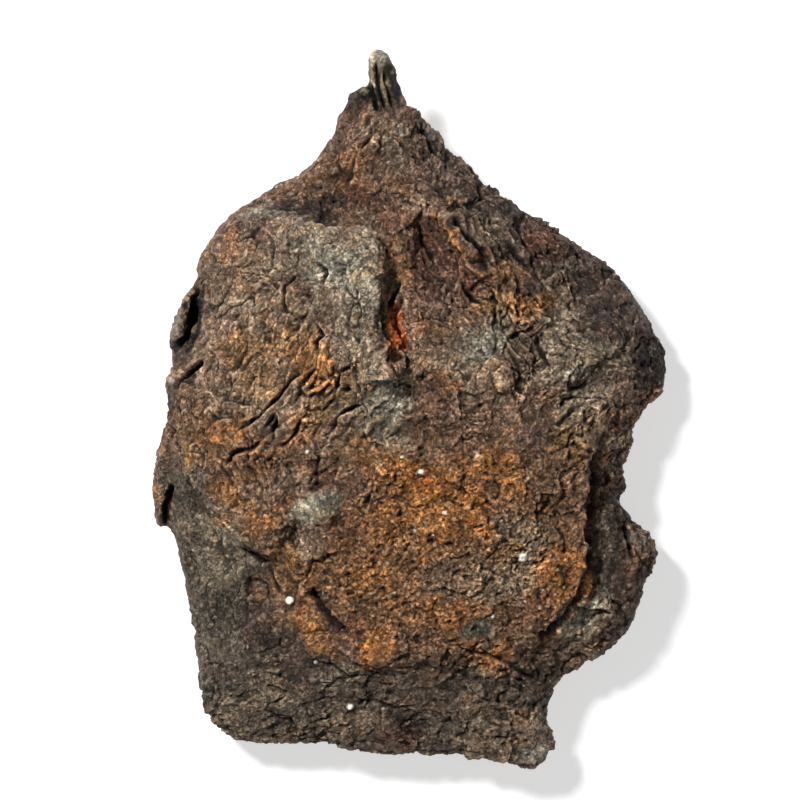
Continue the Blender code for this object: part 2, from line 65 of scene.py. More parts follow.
# Steep edges, with the high side on the left of the way they run:
# (points, width of the steep side, reach of the high side, height)
STEEP_EDGES = [
    ([(-3.4, 22.4), (-10.7, 23.4), (-16.1, 25), (-22, 26.6)], 0.5, 2.4, 1.4),
    ([(-2.4, 4.4), (-3.9, 9), (-4.5, 12.7), (-4.4, 16.5), (-3.6, 22)], 0.4, 1.6, 0.8),
    ([(-1.4, 23.6), (1.2, 26.2), (4.2, 25.2), (7, 20.6), (9.6, 16.6)], 0.5, 1.8, 0.8),
    ([(5.4, 25.4), (7.1, 23.4), (9.5, 21.1), (10.4, 19.6)], 0.5, 1.6, 0.8),
    ([(11.8, 23.1), (14.1, 20.5), (15.9, 18.5)], 0.5, 1.8, 0.7),
    ([(-11.6, 10.4), (-12.1, 6.6), (-16.4, 2.7), (-19.8, -0.7), (-22.8, -2.9)], 0.4, 1.6, 0.8),
    ([(-14.2, 0.2), (-17.9, -2.6), (-20.9, -4.9), (-24.2, -6.4)], 0.4, 1.6, 0.7),
    ([(-6.4, 0.8), (-9.6, -0.8), (-10.4, -3.2), (-12.4, -7)], 0.4, 1.6, 0.7),
    ([(22.6, -24), (23.5, -20.6), (23.2, -16), (23.9, -9.4), (24.2, -4.6)], 0.4, 2, 0.6),
    ([(-31, -8.2), (-27.4, -10.6), (-22.6, -16.6), (-17, -19.4)], 0.7, 2.4, 0.7),
    ([(-16.2, -18), (-14.9, -23.5), (-11.1, -30.2), (-6.7, -33.2), (-1.3, -34)], 0.8, 2.6, 0.6),
    ([(19.2, -2.4), (20.4, -0.9), (22, 0.6), (25.6, 1.6)], 0.4, 1.6, 0.6),
    ([(13.4, 1.8), (14, 4.4), (12.6, 6.5), (10.2, 6.6), (8.8, 4.8), (9, 2.6)], 0.5, 2, 0.9),
]

# Cracks and slits: (points, half width, depth)
CRACKS = [
    ([(-3.8, 14.8), (-3.9, 13), (-3.7, 10.8), (-3, 8), (-2, 5.4)], 0.5, 0.9),
    ([(-0.9, 15.6), (-2, 12.4), (-1.8, 10.6), (-0.7, 8.6)], 0.3, 0.7),
    ([(-1.2, 18), (-2.2, 15.4), (-3, 13)], 0.4, 1),
    ([(-2.1, 22.8), (-3, 20.4), (-3.6, 18.2)], 0.34, 0.6),
    ([(-19.2, 23.8), (-18.4, 22.6), (-17.8, 21.4), (-18.1, 18.4)], 0.24, 0.7),
    ([(-14.9, 21), (-14.8, 18.6)], 0.2, 0.6),
    ([(-12.4, 19.8), (-11, 18), (-11.8, 16.2)], 0.3, 1),
    ([(-14.6, 18.2), (-16.6, 16.3), (-16.9, 14.4), (-16.4, 13.2), (-14.6, 12.5)], 0.24, 0.8),
    ([(-12.6, 11.8), (-11.5, 9.8), (-12.4, 8.7), (-11.9, 7.5), (-12.3, 6), (-13.8, 4),
      (-14.4, 1.6)], 0.26, 1.2),
    ([(-14.4, 5.2), (-16.3, 2.8), (-18.3, 1), (-19.9, -0.8), (-23, -2.9)], 0.32, 1.4),
    ([(-17.3, 0.6), (-18.3, -1.2), (-19.4, -2.4)], 0.28, 1.1),
    ([(-17.4, -0.2), (-17.9, -2.3), (-17.7, -4.4)], 0.28, 1.1),
    ([(-18.8, -3.5), (-20.9, -4.9), (-23.8, -5.7), (-24.5, -7.3)], 0.32, 1.4),
    ([(-14.4, -0.6), (-15.1, -2.8), (-16.4, -4.2)], 0.26, 1),
    ([(-6.2, 0.7), (-8.2, 0.1), (-9.6, -0.9), (-10.3, -3.2)], 0.3, 1.1),
    ([(-11.4, -5.2), (-12.4, -7.2), (-12.6, -9.4), (-11.2, -10.7)], 0.28, 0.8),
    ([(-7.3, 6.6), (-7, 4.2), (-6.1, 1.6)], 0.22, 0.7),
    ([(-3.2, -1.4), (-3.9, -3.2)], 0.24, 0.7),
    ([(-13.4, -23.2), (-12, -25), (-10.6, -27.2), (-8.2, -30)], 0.55, 2),
    ([(12.7, 9), (13.9, 7.1), (14.5, 5.2), (14.1, 3.6), (13, 2)], 0.3, 0.8),
    ([(12.8, 9.1), (14.6, 10.4), (16.7, 11.5)], 0.26, 0.7),
    ([(16.6, 10.6), (17.5, 7.4), (18.3, 6), (17.6, 4)], 0.28, 0.8),
    ([(8.2, 0.1), (10.7, 1.7)], 0.28, 0.8),
    ([(19.1, -2.6), (20.3, -1), (21.9, 0.5)], 0.26, 1),
    ([(5.4, 25.4), (7.1, 23.2), (9.5, 21), (10.2, 19.8)], 0.34, 1.2),
    ([(11.6, 23.3), (14.1, 20.5), (16, 18.4)], 0.3, 1),
    ([(6.2, 18), (7.9, 15.6), (10.1, 13.7)], 0.34, 0.9),
    ([(1, 25.2), (1.6, 22.6), (3.2, 19.4)], 0.34, 0.7),
    ([(-28.6, 17.2), (-28.8, 15), (-28.9, 12.4), (-30, 9.9), (-31.8, 7.9)], 0.36, 2.8),
    ([(-27.2, 7), (-29.7, 4.9), (-31.8, 2.6)], 0.34, 2.2),
    ([(-32, -9.6), (-32.7, -12.6), (-33.1, -15.2), (-33.3, -18.4)], 0.36, 1.5),
    ([(-31.9, -1.6), (-32.1, -4.4)], 0.3, 1),
    ([(-24.6, -12.8), (-24.9, -16.2)], 0.26, 1),
    ([(-4.4, 46.6), (-4.5, 44.2), (-3.9, 41.6), (-3, 39.6)], 0.26, 1.2),
    ([(-3.4, 45.6), (-3, 43.1), (-2.6, 41.5), (-2, 39.8)], 0.26, 0.9),
    ([(-5.9, 44.6), (-5.2, 42), (-4.1, 39.4)], 0.36, 1.5),
    ([(1.2, 38.8), (2.3, 36.1), (3.4, 34.4), (5, 32.3)], 0.3, 1.2),
    ([(1, -44.6), (0.8, -47.2)], 0.34, 0.9),
    ([(27.5, -10.8), (28.6, -15), (29.5, -20.4)], 0.34, 1.1),
    ([(24.4, -5), (24.1, -9.7), (23.4, -16.3), (23.6, -20.8), (22.3, -24.8)], 0.6, 1.8),
    ([(23.2, -22.6), (22.1, -25.2), (19.9, -27.8), (16.8, -30.4)], 0.55, 1.4),
    ([(7.4, -31.6), (13, -33.4), (17, -36.4)], 0.4, 0.8),
    ([(-23, -17.6), (-18.8, -20.2), (-17, -24.6)], 0.34, 0.7),
    ([(20, -20.2), (20.4, -22.6)], 0.6, 0.9),
]

# The way the torn folds run: (x, y, degrees from +X, reach)
FOLD_DIRECTIONS = [
    (-14, 6, 52, 9), (-14, -5, 42, 8), (-25, 8, 70, 8), (-24, -8, 120, 7), (-16, 23, 168, 6),
    (-6, 10, 100, 6), (-5, 33, 65, 7), (6, 31, 125, 7), (4, 20, 110, 5), (14, 20, 130, 7),
    (25, 14, 130, 8), (23, 3, 35, 6), (8, 6, 125, 6), (28, -18, 105, 8), (-24, -24, 100, 9),
    (-10, -39, 10, 9), (10, -40, 165, 9), (4, -16, 20, 10),
]
FOLD_TURNS = 6  # directions that the folds are mixed from
FOLD_STRETCH = 3.0  # length of a fold over its width
FOLD_LEAST = 0.02  # share that every direction has everywhere

# Where the crust is crumbled to grains: (x, y, half length, half width, degrees)
CRUMBLED = [
    (5, -14, 17, 9, -10), (-2, -24, 12, 8, 0), (17, -22, 7, 8, 0), (-16, -15, 7, 4, -35),
]
# Where the crust is split into sheets: (x, y, half length, half width, degrees)
SPLIT = [
    (-17, -0.5, 14, 7.5, 42), (-9, 1, 7, 4, 50), (-14, 14, 8, 7, 40), (5, 18, 8, 5, 115),
    (15, 16, 12, 6, -48), (15.5, 7, 4.5, 4.5, 0), (6, 32, 8, 3, -55), (-8, 38, 4, 4, 0),
    (28, -18, 10, 3.5, 85),
]

GRAIN_SIZE = 0.80  # spacing of the crumbs
CHIP_SIZES = (5.6, 2.6, 1.2)
CHIP_HEIGHTS = (0.90, 0.52, 0.26)
SHEET_SIZES = (4.2, 2.0)  # width of the swells that the sheets are torn from
SHEET_STEPS = (2.6, 2.2)  # torn edges on each swell
SHEET_HEIGHTS = (0.50, 0.26)
SHEET_RISE = 0.86  # share of a sheet that rises, up to its torn edge
FISSURE_SIZES = (3.4, 1.7)
FISSURE_WIDTHS = (0.06, 0.09)
FISSURE_DEPTHS = (0.60, 0.36)
RIB_SIZE = 0.95  # spacing of the fine ribs that run along the folds
RIB_HEIGHT = 0.34
CRACK_WIDTH_SIZE = 1.7  # length over which a crack widens and narrows
CRACK_DEPTH_SIZE = 2.6  # length over which it deepens
CRACK_CHANGE = 0.45  # how much its width and depth change
CRACK_REACH = 1.15  # reach of the walls over the half width
UNDERSIDE_CALM = 0.55  # share of the broken relief that the underside has
WANDER_SIZE = 3.4  # length of the bends that everything strays by
LINE_WARP = 0.45  # how far the edges and cracks stray off their lines
CRUST_WARP = 0.70  # how far folds, sheets and fissures stray
SKIN_WARP = 0.20  # how far the skin itself is moved
PATCHY_SIZE = 9.0  # width of the calmer and the rougher areas
PIT_SIZE = 1.3
ROUGH_SIZE = 0.8  # spacing and height of the fine roughness
ROUGH_HEIGHT = 0.13
RESTING_HEIGHT = 1.2  # the underside keeps its packed form below this height
CRUMB_DOME = 0.8  # height of a bright crumb over its radius

# Where the skin is smoother: (x, y, half length, half width, degrees, share of relief lost)
SMOOTH_AREAS = [
    (-4, 43.8, 5.4, 2.6, 95, 0.75), (-8.6, 40.4, 4.4, 2.6, 60, 0.75), (21, 9.6, 5, 4, 50, 0.45),
    (-12.8, -12.6, 3.2, 2, 15, 0.45), (-20, 15, 9, 8, 0, 0.2), (9, 8.4, 4.6, 3, 20, 0.4),
    (-8, 16, 6, 6, 0, 0.25), (-25, -28, 6, 14, 0, 0.2), (28, -20, 8, 4, 80, 0.25),
    (-31.5, -11, 7, 2.2, 95, 0.6), (-31, 9, 8, 1.8, 95, 0.2),
]


class MeteoriteSizes(bpy.types.PropertyGroup):
    """Sizes of the fragment's skin and of the stage."""

    grid: bpy.props.FloatProperty(
        name="Skin grid", description="Edge length of the fine skin",
        default=0.21 * MM, min=0.1 * MM, unit="LENGTH", precision=5)
    rounding: bpy.props.IntProperty(
        name="Rounding", description="Passes that take the flat facets off the body",
        default=20, min=0, subtype="UNSIGNED")
    relief: bpy.props.FloatProperty(
        name="Relief", description="Strength of chips, folds and crumbs",
        default=1.0, min=0.0, subtype="FACTOR")
    crack_depth: bpy.props.FloatProperty(
        name="Crack depth", description="Strength of the named cracks and slits",
        default=1.0, min=0.0, subtype="FACTOR")
    view_width: bpy.props.FloatProperty(
        name="View width", description="Width that the camera sees at the fragment",
        default=107.2 * MM, unit="LENGTH", precision=4)
    lens: bpy.props.FloatProperty(
        name="Lens", description="Focal length of the camera in millimetres",
        default=150.0, subtype="NONE")


def colour_setting(name, description, default):
    """Return a setting that holds one colour."""
    return bpy.props.FloatVectorProperty(
        name=name, description=description, default=default, min=0.0, max=1.0,
        subtype="COLOR")


class MeteoriteColours(bpy.types.PropertyGroup):
    """Colours of the crust's patches and of the floor."""

    brown: colour_setting("Brown crust", "Colour of most of the crust", (0.222, 0.130, 0.082))
    tan: colour_setting("Tan crust", "Dry, light crust on the left plate", (0.330, 0.220, 0.144))
    khaki: colour_setting("Khaki crust", "Grey-green crust on the crest", (0.340, 0.266, 0.186))
    pale: colour_setting("Pale crust", "Pale patches", (0.430, 0.390, 0.300))
    sage: colour_setting("Sage crust", "Grey-green spots", (0.345, 0.300, 0.212))
    olive: colour_setting("Dark olive crust", "Dark crust of the lower face", (0.122, 0.104, 0.076))
    # Partly the dark crust and partly painted shade, laid on the right shoulder that slopes away
    # from the light, in the hollow behind the upper ledge and on the lower face.
    umber_and_shade: colour_setting(
        "Dark umber crust", "Dark crust of the right shoulder and the rim", (0.102, 0.068, 0.053))
    orange: colour_setting("Orange rust", "Fresh rust", (0.485, 0.206, 0.062))
    amber: colour_setting("Amber rust", "Yellowish rust", (0.370, 0.195, 0.062))
    red: colour_setting("Red rust", "Dark red rust", (0.200, 0.082, 0.048))
    vivid: colour_setting(
        "Vivid rust", "Bright rust on the wall of the cleft", (0.600, 0.150, 0.030))
    rust: colour_setting(
        "Brown rust", "Crumbly brown rust of the raised mass", (0.312, 0.150, 0.062))
    # Painted shade: the darkest colour, laid in gaps, cracks and slits and on walls turned away
    # from the light.
    shade_black: colour_setting(
        "Black crust", "Burnt, almost black crust in gaps and on torn walls", (0.026, 0.019, 0.016))
    metal: colour_setting("Worn metal", "Bare metal on worn edges", (0.520, 0.480, 0.420))
    # Painted highlight: glints laid as a bright colour on raised flecks.
    glint: colour_setting("Glints", "Bright specks on the grains", (0.68, 0.54, 0.36))
    crumb: colour_setting("Bright crumbs", "Single white crumbs", (1.0, 0.96, 0.84))
    floor: colour_setting("Floor", "Colour of the floor", (0.62, 0.62, 0.62))


# Patches of colour, painted in this order: (colour, x, y, half length, half width, degrees, share)
# The dark brown zones are partly the crust's colour and partly painted shade on the right shoulder,
# in the hollow behind the upper ledge and on the lower face.
CRUST_ZONES = [
    ("tan", -18, 9, 16, 16, 0, 0.9), ("tan", 8.5, 7.5, 9, 7.5, 0, 0.75),
    ("khaki", -8.5, 18.5, 8.5, 5.5, -10, 0.95), ("rust", -20, -9, 13, 5.5, -35, 0.65),
    ("brown", -2, 33, 12, 9, 0, 0.9), ("umber_and_shade", 21.5, 20.5, 16, 8, -38, 1),
    ("umber_and_shade", 28.5, 12, 6, 4, -60, 0.7), ("umber_and_shade", 6, 31, 9, 4.5, -50, 0.8),
    ("umber_and_shade", -12.5, 27, 8, 2.4, 8, 0.95), ("umber_and_shade", 4, 21, 5, 6, 20, 0.6),
    ("red", 4, 16, 6, 7, 20, 0.35), ("olive", -25, -27, 18, 8, 94, 0.9),
    ("olive", 0, -40, 26, 7, -3, 0.8), ("umber_and_shade", 2, -38, 12, 4, 0, 0.5),
    ("umber_and_shade", -19.8, -27.4, 5.4, 3.6, 90, 1), ("umber_and_shade", -13.5, -34.5, 5, 2.6, -30, 0.85),
    ("umber_and_shade", 28, -19, 12, 5, 82, 0.95), ("rust", 3.5, -18, 20, 13, 0, 0.8),
    ("umber_and_shade", -31.5, 10, 9, 1.6, 95, 0.8), ("olive", -30, -11, 6, 3, 100, 0.7),
]
# The darkest patches are painted shade in gaps and cracks and on walls turned away from the light;
# the dark brown ones are partly the crust's colour and partly painted shade.
CRUST_PATCHES = [
    ("khaki", -10.5, 21.5, 6, 2.4, -20, 0.8), ("khaki", -7.5, 14, 5.5, 2.6, 100, 0.85),
    ("khaki", -6, 6, 5, 2.3, 105, 0.85), ("khaki", -3.6, -1, 5, 2.8, 115, 1),
    ("pale", -2.4, 2, 2.4, 2.2, 0, 0.85), ("khaki", -9, 1.2, 2.2, 1.8, 0, 0.7),
    ("pale", -9, 19.4, 3, 1.8, 0, 0.75), ("pale", -19.6, 27.2, 2.2, 0.9, 10, 0.45),
    ("khaki", -17.5, 20.5, 3, 2.2, 60, 0.5), ("khaki", -24, 14, 3.6, 1.6, 10, 0.5),
    ("shade_black", -12.4, 26.9, 5, 1.6, 5, 0.42), ("red", -6.8, 28.6, 3, 1.6, 40, 0.5),
    ("pale", -18.4, 25.8, 4, 0.7, -11, 0.25), ("umber_and_shade", 9.6, 26.6, 3.2, 2, -40, 0.7),
    ("orange", -8, 31.6, 3, 2, 70, 0.24), ("khaki", -3, 36, 4.2, 2.4, -60, 0.6),
    ("red", -3, 26, 4.4, 1.5, -20, 0.35), ("red", 2.4, 22.6, 3.4, 2.2, 70, 0.5),
    ("orange", 3.4, 26, 2, 0.6, -35, 0.4), ("orange", 5.9, 22.6, 3, 0.8, -62, 0.55),
    ("tan", 3.4, 27.4, 3.6, 1.2, 10, 0.8), ("shade_black", 1.6, 24.2, 1.8, 1, 40, 0.5),
    ("red", 7.4, 17.4, 3.2, 1.1, -60, 0.8), ("khaki", 10.5, 24, 3.2, 1.6, -55, 0.45),
    ("red", 17.5, 22.4, 3.2, 1.6, -30, 0.55), ("olive", 20, 19.4, 2.2, 1.8, 0, 0.6),
    ("rust", -1.4, 19.6, 3.6, 1.6, 110, 0.8), ("vivid", -1.9, 10.8, 3.8, 0.9, 98, 0.8),
    ("vivid", -1.4, 9.4, 1.8, 0.8, 100, 0.8), ("shade_black", -3.8, 11.6, 4.6, 0.55, 94, 0.8),
    ("shade_black", -2.6, 7, 1.4, 0.4, 112, 0.7), ("orange", 2.4, 10.4, 2.2, 0.9, 0, 0.35),
    ("amber", 11.6, 13.6, 3.2, 1.8, -10, 0.65), ("orange", 16.8, 14.4, 3.2, 1.7, 0, 0.6),
    ("rust", 11.4, 18.2, 4, 2, -30, 0.6), ("orange", 15.2, 11.6, 1.8, 1.2, 0, 0.45),
    ("pale", 9.4, 8.4, 4.2, 2.6, 15, 0.85), ("tan", 10.8, 3.8, 3.4, 3.2, 0, 0.95),
    ("tan", 4.4, 8.2, 3.2, 2.6, 0, 0.6), ("khaki", 13, 11.2, 2.4, 1.6, 0, 0.5),
    ("red", 4, 3, 2.8, 2.2, 60, 0.5), ("orange", 5.2, 4.2, 1.6, 1.2, 0, 0.35),
    ("khaki", 20.8, 8.6, 5.6, 4.2, 60, 0.85), ("pale", 22.4, 4.2, 1.8, 1.6, 0, 0.55),
    ("olive", 26, 9, 4.6, 3, 100, 0.7), ("tan", 24.4, 1, 3.6, 1.8, 10, 0.6),
    ("khaki", 27.4, 7.4, 2.8, 2.4, 0, 0.8), ("khaki", 16.6, 4.4, 1.8, 1.8, 0, 0.45),
    ("umber_and_shade", 31.8, 7.2, 4, 2.6, 100, 0.6), ("tan", 26.4, 16.4, 1.2, 0.8, 40, 0.5),
    ("tan", 22.4, -3, 4.2, 2.8, 20, 1), ("amber", 21, -4.8, 2.6, 1.8, 0, 0.7),
    ("khaki", 28.6, -3.6, 2, 1.8, 0, 0.5), ("khaki", 23, 1.6, 3.4, 2, 20, 0.9),
    ("umber_and_shade", 28.6, 1.8, 2, 1.6, 10, 0.5), ("shade_black", 20.5, -1, 2, 0.35, 50, 0.6),
    ("umber_and_shade", -21.8, 24, 2.6, 1.8, 50, 0.6), ("orange", -23.8, 22.4, 2.2, 1.6, 80, 0.35),
    ("red", -14.4, 16.4, 1.8, 1.5, 0, 0.55), ("pale", -10, 18.4, 5.4, 2.6, -35, 0.6),
    ("orange", -22.6, 8, 2.8, 2, 10, 0.45), ("amber", -18, 9, 4.2, 2, 10, 0.5),
    ("orange", -13.6, 7.4, 3, 2.4, 30, 0.55), ("amber", -9.4, 2, 4, 2, 20, 0.5),
    ("orange", -11.8, 4.8, 3, 2.2, 20, 0.65), ("amber", -19.4, 3.8, 2.8, 2.2, 0, 0.45),
    ("orange", -14.2, -2.6, 3.2, 1.8, 40, 0.45), ("orange", -25.2, -2.6, 3, 2.2, 0, 0.45),
    ("amber", -7.4, -4.6, 2.6, 1.8, 0, 0.45), ("red", -12, -8.4, 2, 1.4, 30, 0.5),
    ("red", -20.6, -4.6, 3, 1.6, 40, 0.4), ("red", -16.2, -10.6, 2.2, 1.6, 0, 0.5),
    ("orange", -24.4, -12, 3, 2, -60, 0.5), ("orange", -19.4, -14.8, 3.6, 1.8, -35, 0.5),
    ("tan", -14, -16.2, 3.4, 2.6, 0, 1), ("amber", -16.4, -19.6, 2.2, 2, 0, 0.6),
    ("amber", -29.6, -6, 1.6, 0.9, -50, 0.6), ("umber_and_shade", -8.6, -10.2, 3, 2.2, 40, 0.6),
    ("tan", -15.2, -9.6, 3, 2, 0, 0.9), ("tan", -19.6, -10.6, 2.6, 2, 0, 0.5),
    ("orange", 1.6, -9.4, 5.8, 2.9, -22, 1), ("vivid", 2.8, -9.4, 3.6, 1.5, -28, 0.45),
    ("amber", 3, -8.4, 2.6, 1, -28, 0.5), ("orange", 4.6, -13, 3.2, 2, -35, 0.9),
    ("orange", 7.6, -13.4, 4, 2.2, -50, 1), ("orange", 9.8, -6.8, 3.6, 1.4, 0, 0.8),
    ("orange", 13, -9.6, 2.2, 1.8, 0, 0.5), ("orange", 1, -13.2, 3, 1.8, 0, 0.6),
    ("orange", -3.2, -14.6, 3, 2.2, 80, 0.5), ("red", -9.4, -16, 4, 2, 0, 0.4),
    ("orange", 3, -18.4, 2.2, 2, 0, 0.45), ("khaki", 14.8, -16, 4, 3, -20, 0.6),
    ("khaki", 15.8, -20.4, 2.8, 2.8, 0, 0.6), ("red", 11.8, -13, 1.6, 1.2, 0, 0.45),
    ("tan", 4.4, -21.8, 3, 2.8, 90, 0.7), ("olive", 8.4, -20, 2, 1.6, 0, 0.5),
    ("khaki", 11, -22.8, 3.4, 3, 0, 0.5), ("orange", 3.6, -16, 2.6, 1.6, 0, 0.6),
    ("orange", -5.6, -22.2, 3.2, 1.8, 0, 0.5), ("orange", 5.4, -26.4, 2.8, 2.2, 0, 0.45),
    ("orange", -12.6, -28.6, 4.2, 1.2, -60, 0.6), ("shade_black", -11, -26.4, 4, 0.7, -57, 0.8),
    ("red", -7.4, -29.8, 3.6, 1.3, 90, 0.7), ("orange", -4.4, -31.2, 3, 1.8, 70, 0.8),
    ("olive", 9.4, -28.8, 2.8, 1.5, 0, 0.6), ("orange", 19.9, -21.6, 3.4, 3.6, 0, 0.85),
    ("shade_black", 20.2, -21.4, 0.9, 1.4, 0, 0.7), ("red", 17.2, -26.8, 3.2, 2, 100, 0.45),
    ("khaki", 14.6, -24.6, 1.6, 1.2, -40, 0.5), ("orange", 10.9, -32.4, 2.6, 1.7, 0, 0.75),
    ("shade_black", 23.9, -13, 9.4, 0.8, 92, 0.9), ("shade_black", 21, -26, 4.8, 0.6, 52, 0.85),
    ("shade_black", -28.9, 13, 4.6, 0.7, 88, 1), ("shade_black", -30.8, 9, 1.8, 0.7, 50, 0.9),
    ("shade_black", -29.7, 4.8, 2.8, 0.5, 44, 0.9), ("shade_black", -32.9, -14, 3.4, 0.5, 92, 0.9),
    ("shade_black", -32.4, 0.4, 2.6, 0.5, 92, 0.8), ("tan", -28.8, 7.4, 1.6, 0.8, 30, 0.6),
    ("umber_and_shade", -4, 42.6, 4, 2.6, 95, 0.75), ("shade_black", -6.2, 42, 2.2, 1.2, 60, 0.5),
    ("shade_black", -11.2, 37, 5, 0.9, 62, 0.4), ("shade_black", -7, 42.2, 1.8, 1.4, 45, 0.7),
    ("shade_black", 2.8, 35.8, 4.2, 0.5, -52, 0.8), ("shade_black", 32.4, 6.8, 3.4, 2, 100, 0.8),
    ("shade_black", 15.4, 7.4, 3.2, 1.2, 75, 0.45), ("shade_black", 9.6, 19.4, 1.2, 0.8, 0, 0.7),
    ("shade_black", -10.6, -2.2, 2, 0.6, 70, 0.4), ("shade_black", -18.6, -1.4, 3.4, 0.8, 48, 0.45),
    # The pale, tan and khaki patches right of the raised mass's lower edge, near (23, -28), are
    # partly pale chips and partly painted light that lifts the shadow which the mass's edge casts
    # there.
    ("shade_black", -12.2, -6.8, 2.2, 0.8, 110, 0.5), ("pale", 25.6, -24.6, 1.4, 0.9, 60, 0.6),
    ("tan", 23.6, -28, 4, 2.4, 45, 1), ("pale", 23, -27.6, 2.6, 1.2, 45, 0.55),
    ("khaki", 22, -29.8, 2.6, 1.4, 40, 0.8), ("tan", 22.6, -33.2, 2.8, 1.8, 40, 0.9),
    ("red", 30.2, -22.4, 4.6, 1.4, 78, 0.4), ("shade_black", 27.4, -9, 5, 1.4, 85, 0.55),
    ("shade_black", 26.4, -17, 8, 2.2, 88, 0.45), ("olive", 26.2, -20, 5, 1.6, 85, 0.6),
    ("khaki", 31.2, -12.4, 2.2, 1.4, -30, 0.6), ("tan", 31, -18, 2.2, 1.6, 0, 0.4),
    ("khaki", -26.8, -15.6, 3, 1.8, 90, 0.6), ("khaki", -24.6, -21.4, 2.2, 1.8, 0, 0.55),
    ("tan", -25.6, -40.4, 3, 2, 0, 0.3), ("tan", -7.6, -41.4, 3.4, 1.8, 0, 0.45),
    ("tan", -20, -37.6, 4, 4, 0, 0.3), ("khaki", -9, -35, 3, 1.6, 0, 0.5),
    ("tan", 10, -34.4, 3, 1.2, 0, 0.5), ("shade_black", 16.4, -34.2, 3.6, 2.2, 30, 0.65),
    ("shade_black", 4.6, -33.6, 3, 1.4, 0, 0.4), ("tan", 10.8, -45, 5, 1.4, 0, 0.6),
    ("umber_and_shade", 3.4, -45.4, 2, 1.6, 0, 0.6), ("umber_and_shade", -25.6, -34, 2.6, 2.6, 0, 0.5),
    ("rust", -14.6, -22.6, 2.4, 1.8, 0, 0.6), ("khaki", -24.6, -17.4, 3.6, 2.8, 90, 0.5),
    ("red", -1.6, -43.6, 3, 1.6, 0, 0.6), ("pale", 16, -45.8, 2.2, 1.6, 40, 0.6),
    ("tan", 14.8, -42.8, 3.6, 2.6, 40, 0.7), ("tan", 10.4, -45.6, 2.4, 1.4, 0, 0.6),
    ("tan", 8.6, -40, 4, 2, 0, 0.45), ("umber_and_shade", 25, 14, 5.2, 3, -50, 1),
    ("umber_and_shade", 4.2, 14.2, 2.6, 2.4, 0, 0.45), ("tan", 20.4, 15.6, 3.6, 1.8, -50, 0.5),
    ("umber_and_shade", 16.2, -3.6, 3, 2.2, 0, 0.6),
]

# Patches with sharp borders, written in the same way. The darkest ones are painted shade on the
# horn's side that is turned away from the light and in its grooves.
SHARP_PATCHES = [
    ("sage", -12.8, -12.8, 2.9, 1.9, 20, 0.95), ("sage", -11.2, -11.8, 2.2, 1.6, -20, 0.8),
    ("pale", -12, -11.8, 2.2, 0.8, 20, 0.6), ("pale", -4.1, 46.8, 1.3, 1, 0, 1),
    ("khaki", -5.2, 44.5, 1.8, 0.4, 95, 1), ("khaki", -3.7, 43.2, 2.2, 0.4, 97, 0.9),
    ("shade_black", -2.2, 43.4, 3.2, 0.75, 104, 1), ("shade_black", -4.5, 43.4, 2.6, 0.26, 94, 1),
    ("shade_black", -5, 41.5, 1.9, 0.45, 124, 0.9), ("khaki", -6.3, 43.1, 0.8, 0.4, 60, 0.8),
    # The pale patch at (23.2, -27) is partly pale chips and partly painted light on the mass edge's
    # shadow.
    ("pale", 23.2, -27, 2.6, 1.1, 52, 1), ("pale", 31.4, -12, 1.2, 0.9, -30, 0.6),
    ("olive", 8.8, -28.8, 2, 1.2, 10, 0.9), ("sage", 11.8, -23.6, 1.8, 1, 30, 0.3),
    ("khaki", 25.6, -14, 3.4, 0.8, 88, 0.3), ("orange", 20.6, -19.4, 2.2, 1, -40, 0.5),
    ("amber", 13.6, -18.2, 1.2, 0.8, 0, 0.7), ("amber", -4.6, -5.8, 1.6, 1, 40, 0.6),
]

# Small bright crumbs: (x, y, radius, whiteness)
BRIGHT_CRUMBS = [
    (-16, -25.1, 0.54, 1), (-8, -39.4, 0.42, 1), (14.9, -19.3, 0.62, 1), (1.4, -8, 0.42, 0.9),
    (4.5, -13.3, 0.3, 0.7), (-13.6, -5.3, 0.24, 0.9), (-1.1, -6, 0.22, 0.8), (8.8, -5.7, 0.28, 0.6),
    (-14.2, -17.4, 0.2, 0.7), (2.9, -16.3, 0.18, 0.7), (7.8, -23.8, 0.22, 0.7),
    (10.9, -27.1, 0.22, 0.8), (-12.6, -33.4, 0.22, 0.6), (-2.1, -24, 0.18, 0.7),
    (12.1, -22.3, 0.2, 0.6), (-31.9, 4.1, 0.5, 0.35), (0.6, -15.7, 0.22, 0.5),
    (-21.6, -31.4, 0.2, 0.5),
]

# Worn, bright metal on edges: (x, y, half length, half width, degrees, share)
WORN_EDGES = [
    (-4.3, 46.9, 1.5, 1.1, 0, 0.9), (2.6, 37.2, 2.4, 1, -50, 0.6), (16.6, -46.6, 2, 1.3, 20, 0.7),
    (31, -17.2, 2, 1, 0, 0.6), (30.6, 13.6, 3, 0.9, -60, 0.5), (-31.2, 12, 4.2, 0.8, 95, 0.8),
    (-32.4, 3.2, 1.2, 1, 0, 0.6), (-20.6, 26.4, 3.4, 0.8, 12, 0.4), (17.8, -43, 3.2, 0.8, 90, 0.4),
    (30.4, -24, 4, 0.8, 75, 0.3),
]

# --- Repeatable noise ---

# Where each noise starts to count, so that no two are alike
SEEDS = {
    "slopes": 11, "wander": 40, "sheets": 100, "fissures": 160, "fissure places": 190,
    "chips": 200, "ribs": 240, "patchy": 300, "crack width": 330, "crack depth": 340,
    "grain": 400, "pits": 420, "roughness": 440, "ragged": 500, "worn": 560, "tone": 600,
}

SLOPES = np.random.default_rng(SEEDS["slopes"]).normal(size=(256, 3))
SLOPES /= np.linalg.norm(SLOPES, axis=1)[:, None]
NOISE_GAIN = 1.6
WORD = 0xFFFFFFFF
TEN_BITS = 1023


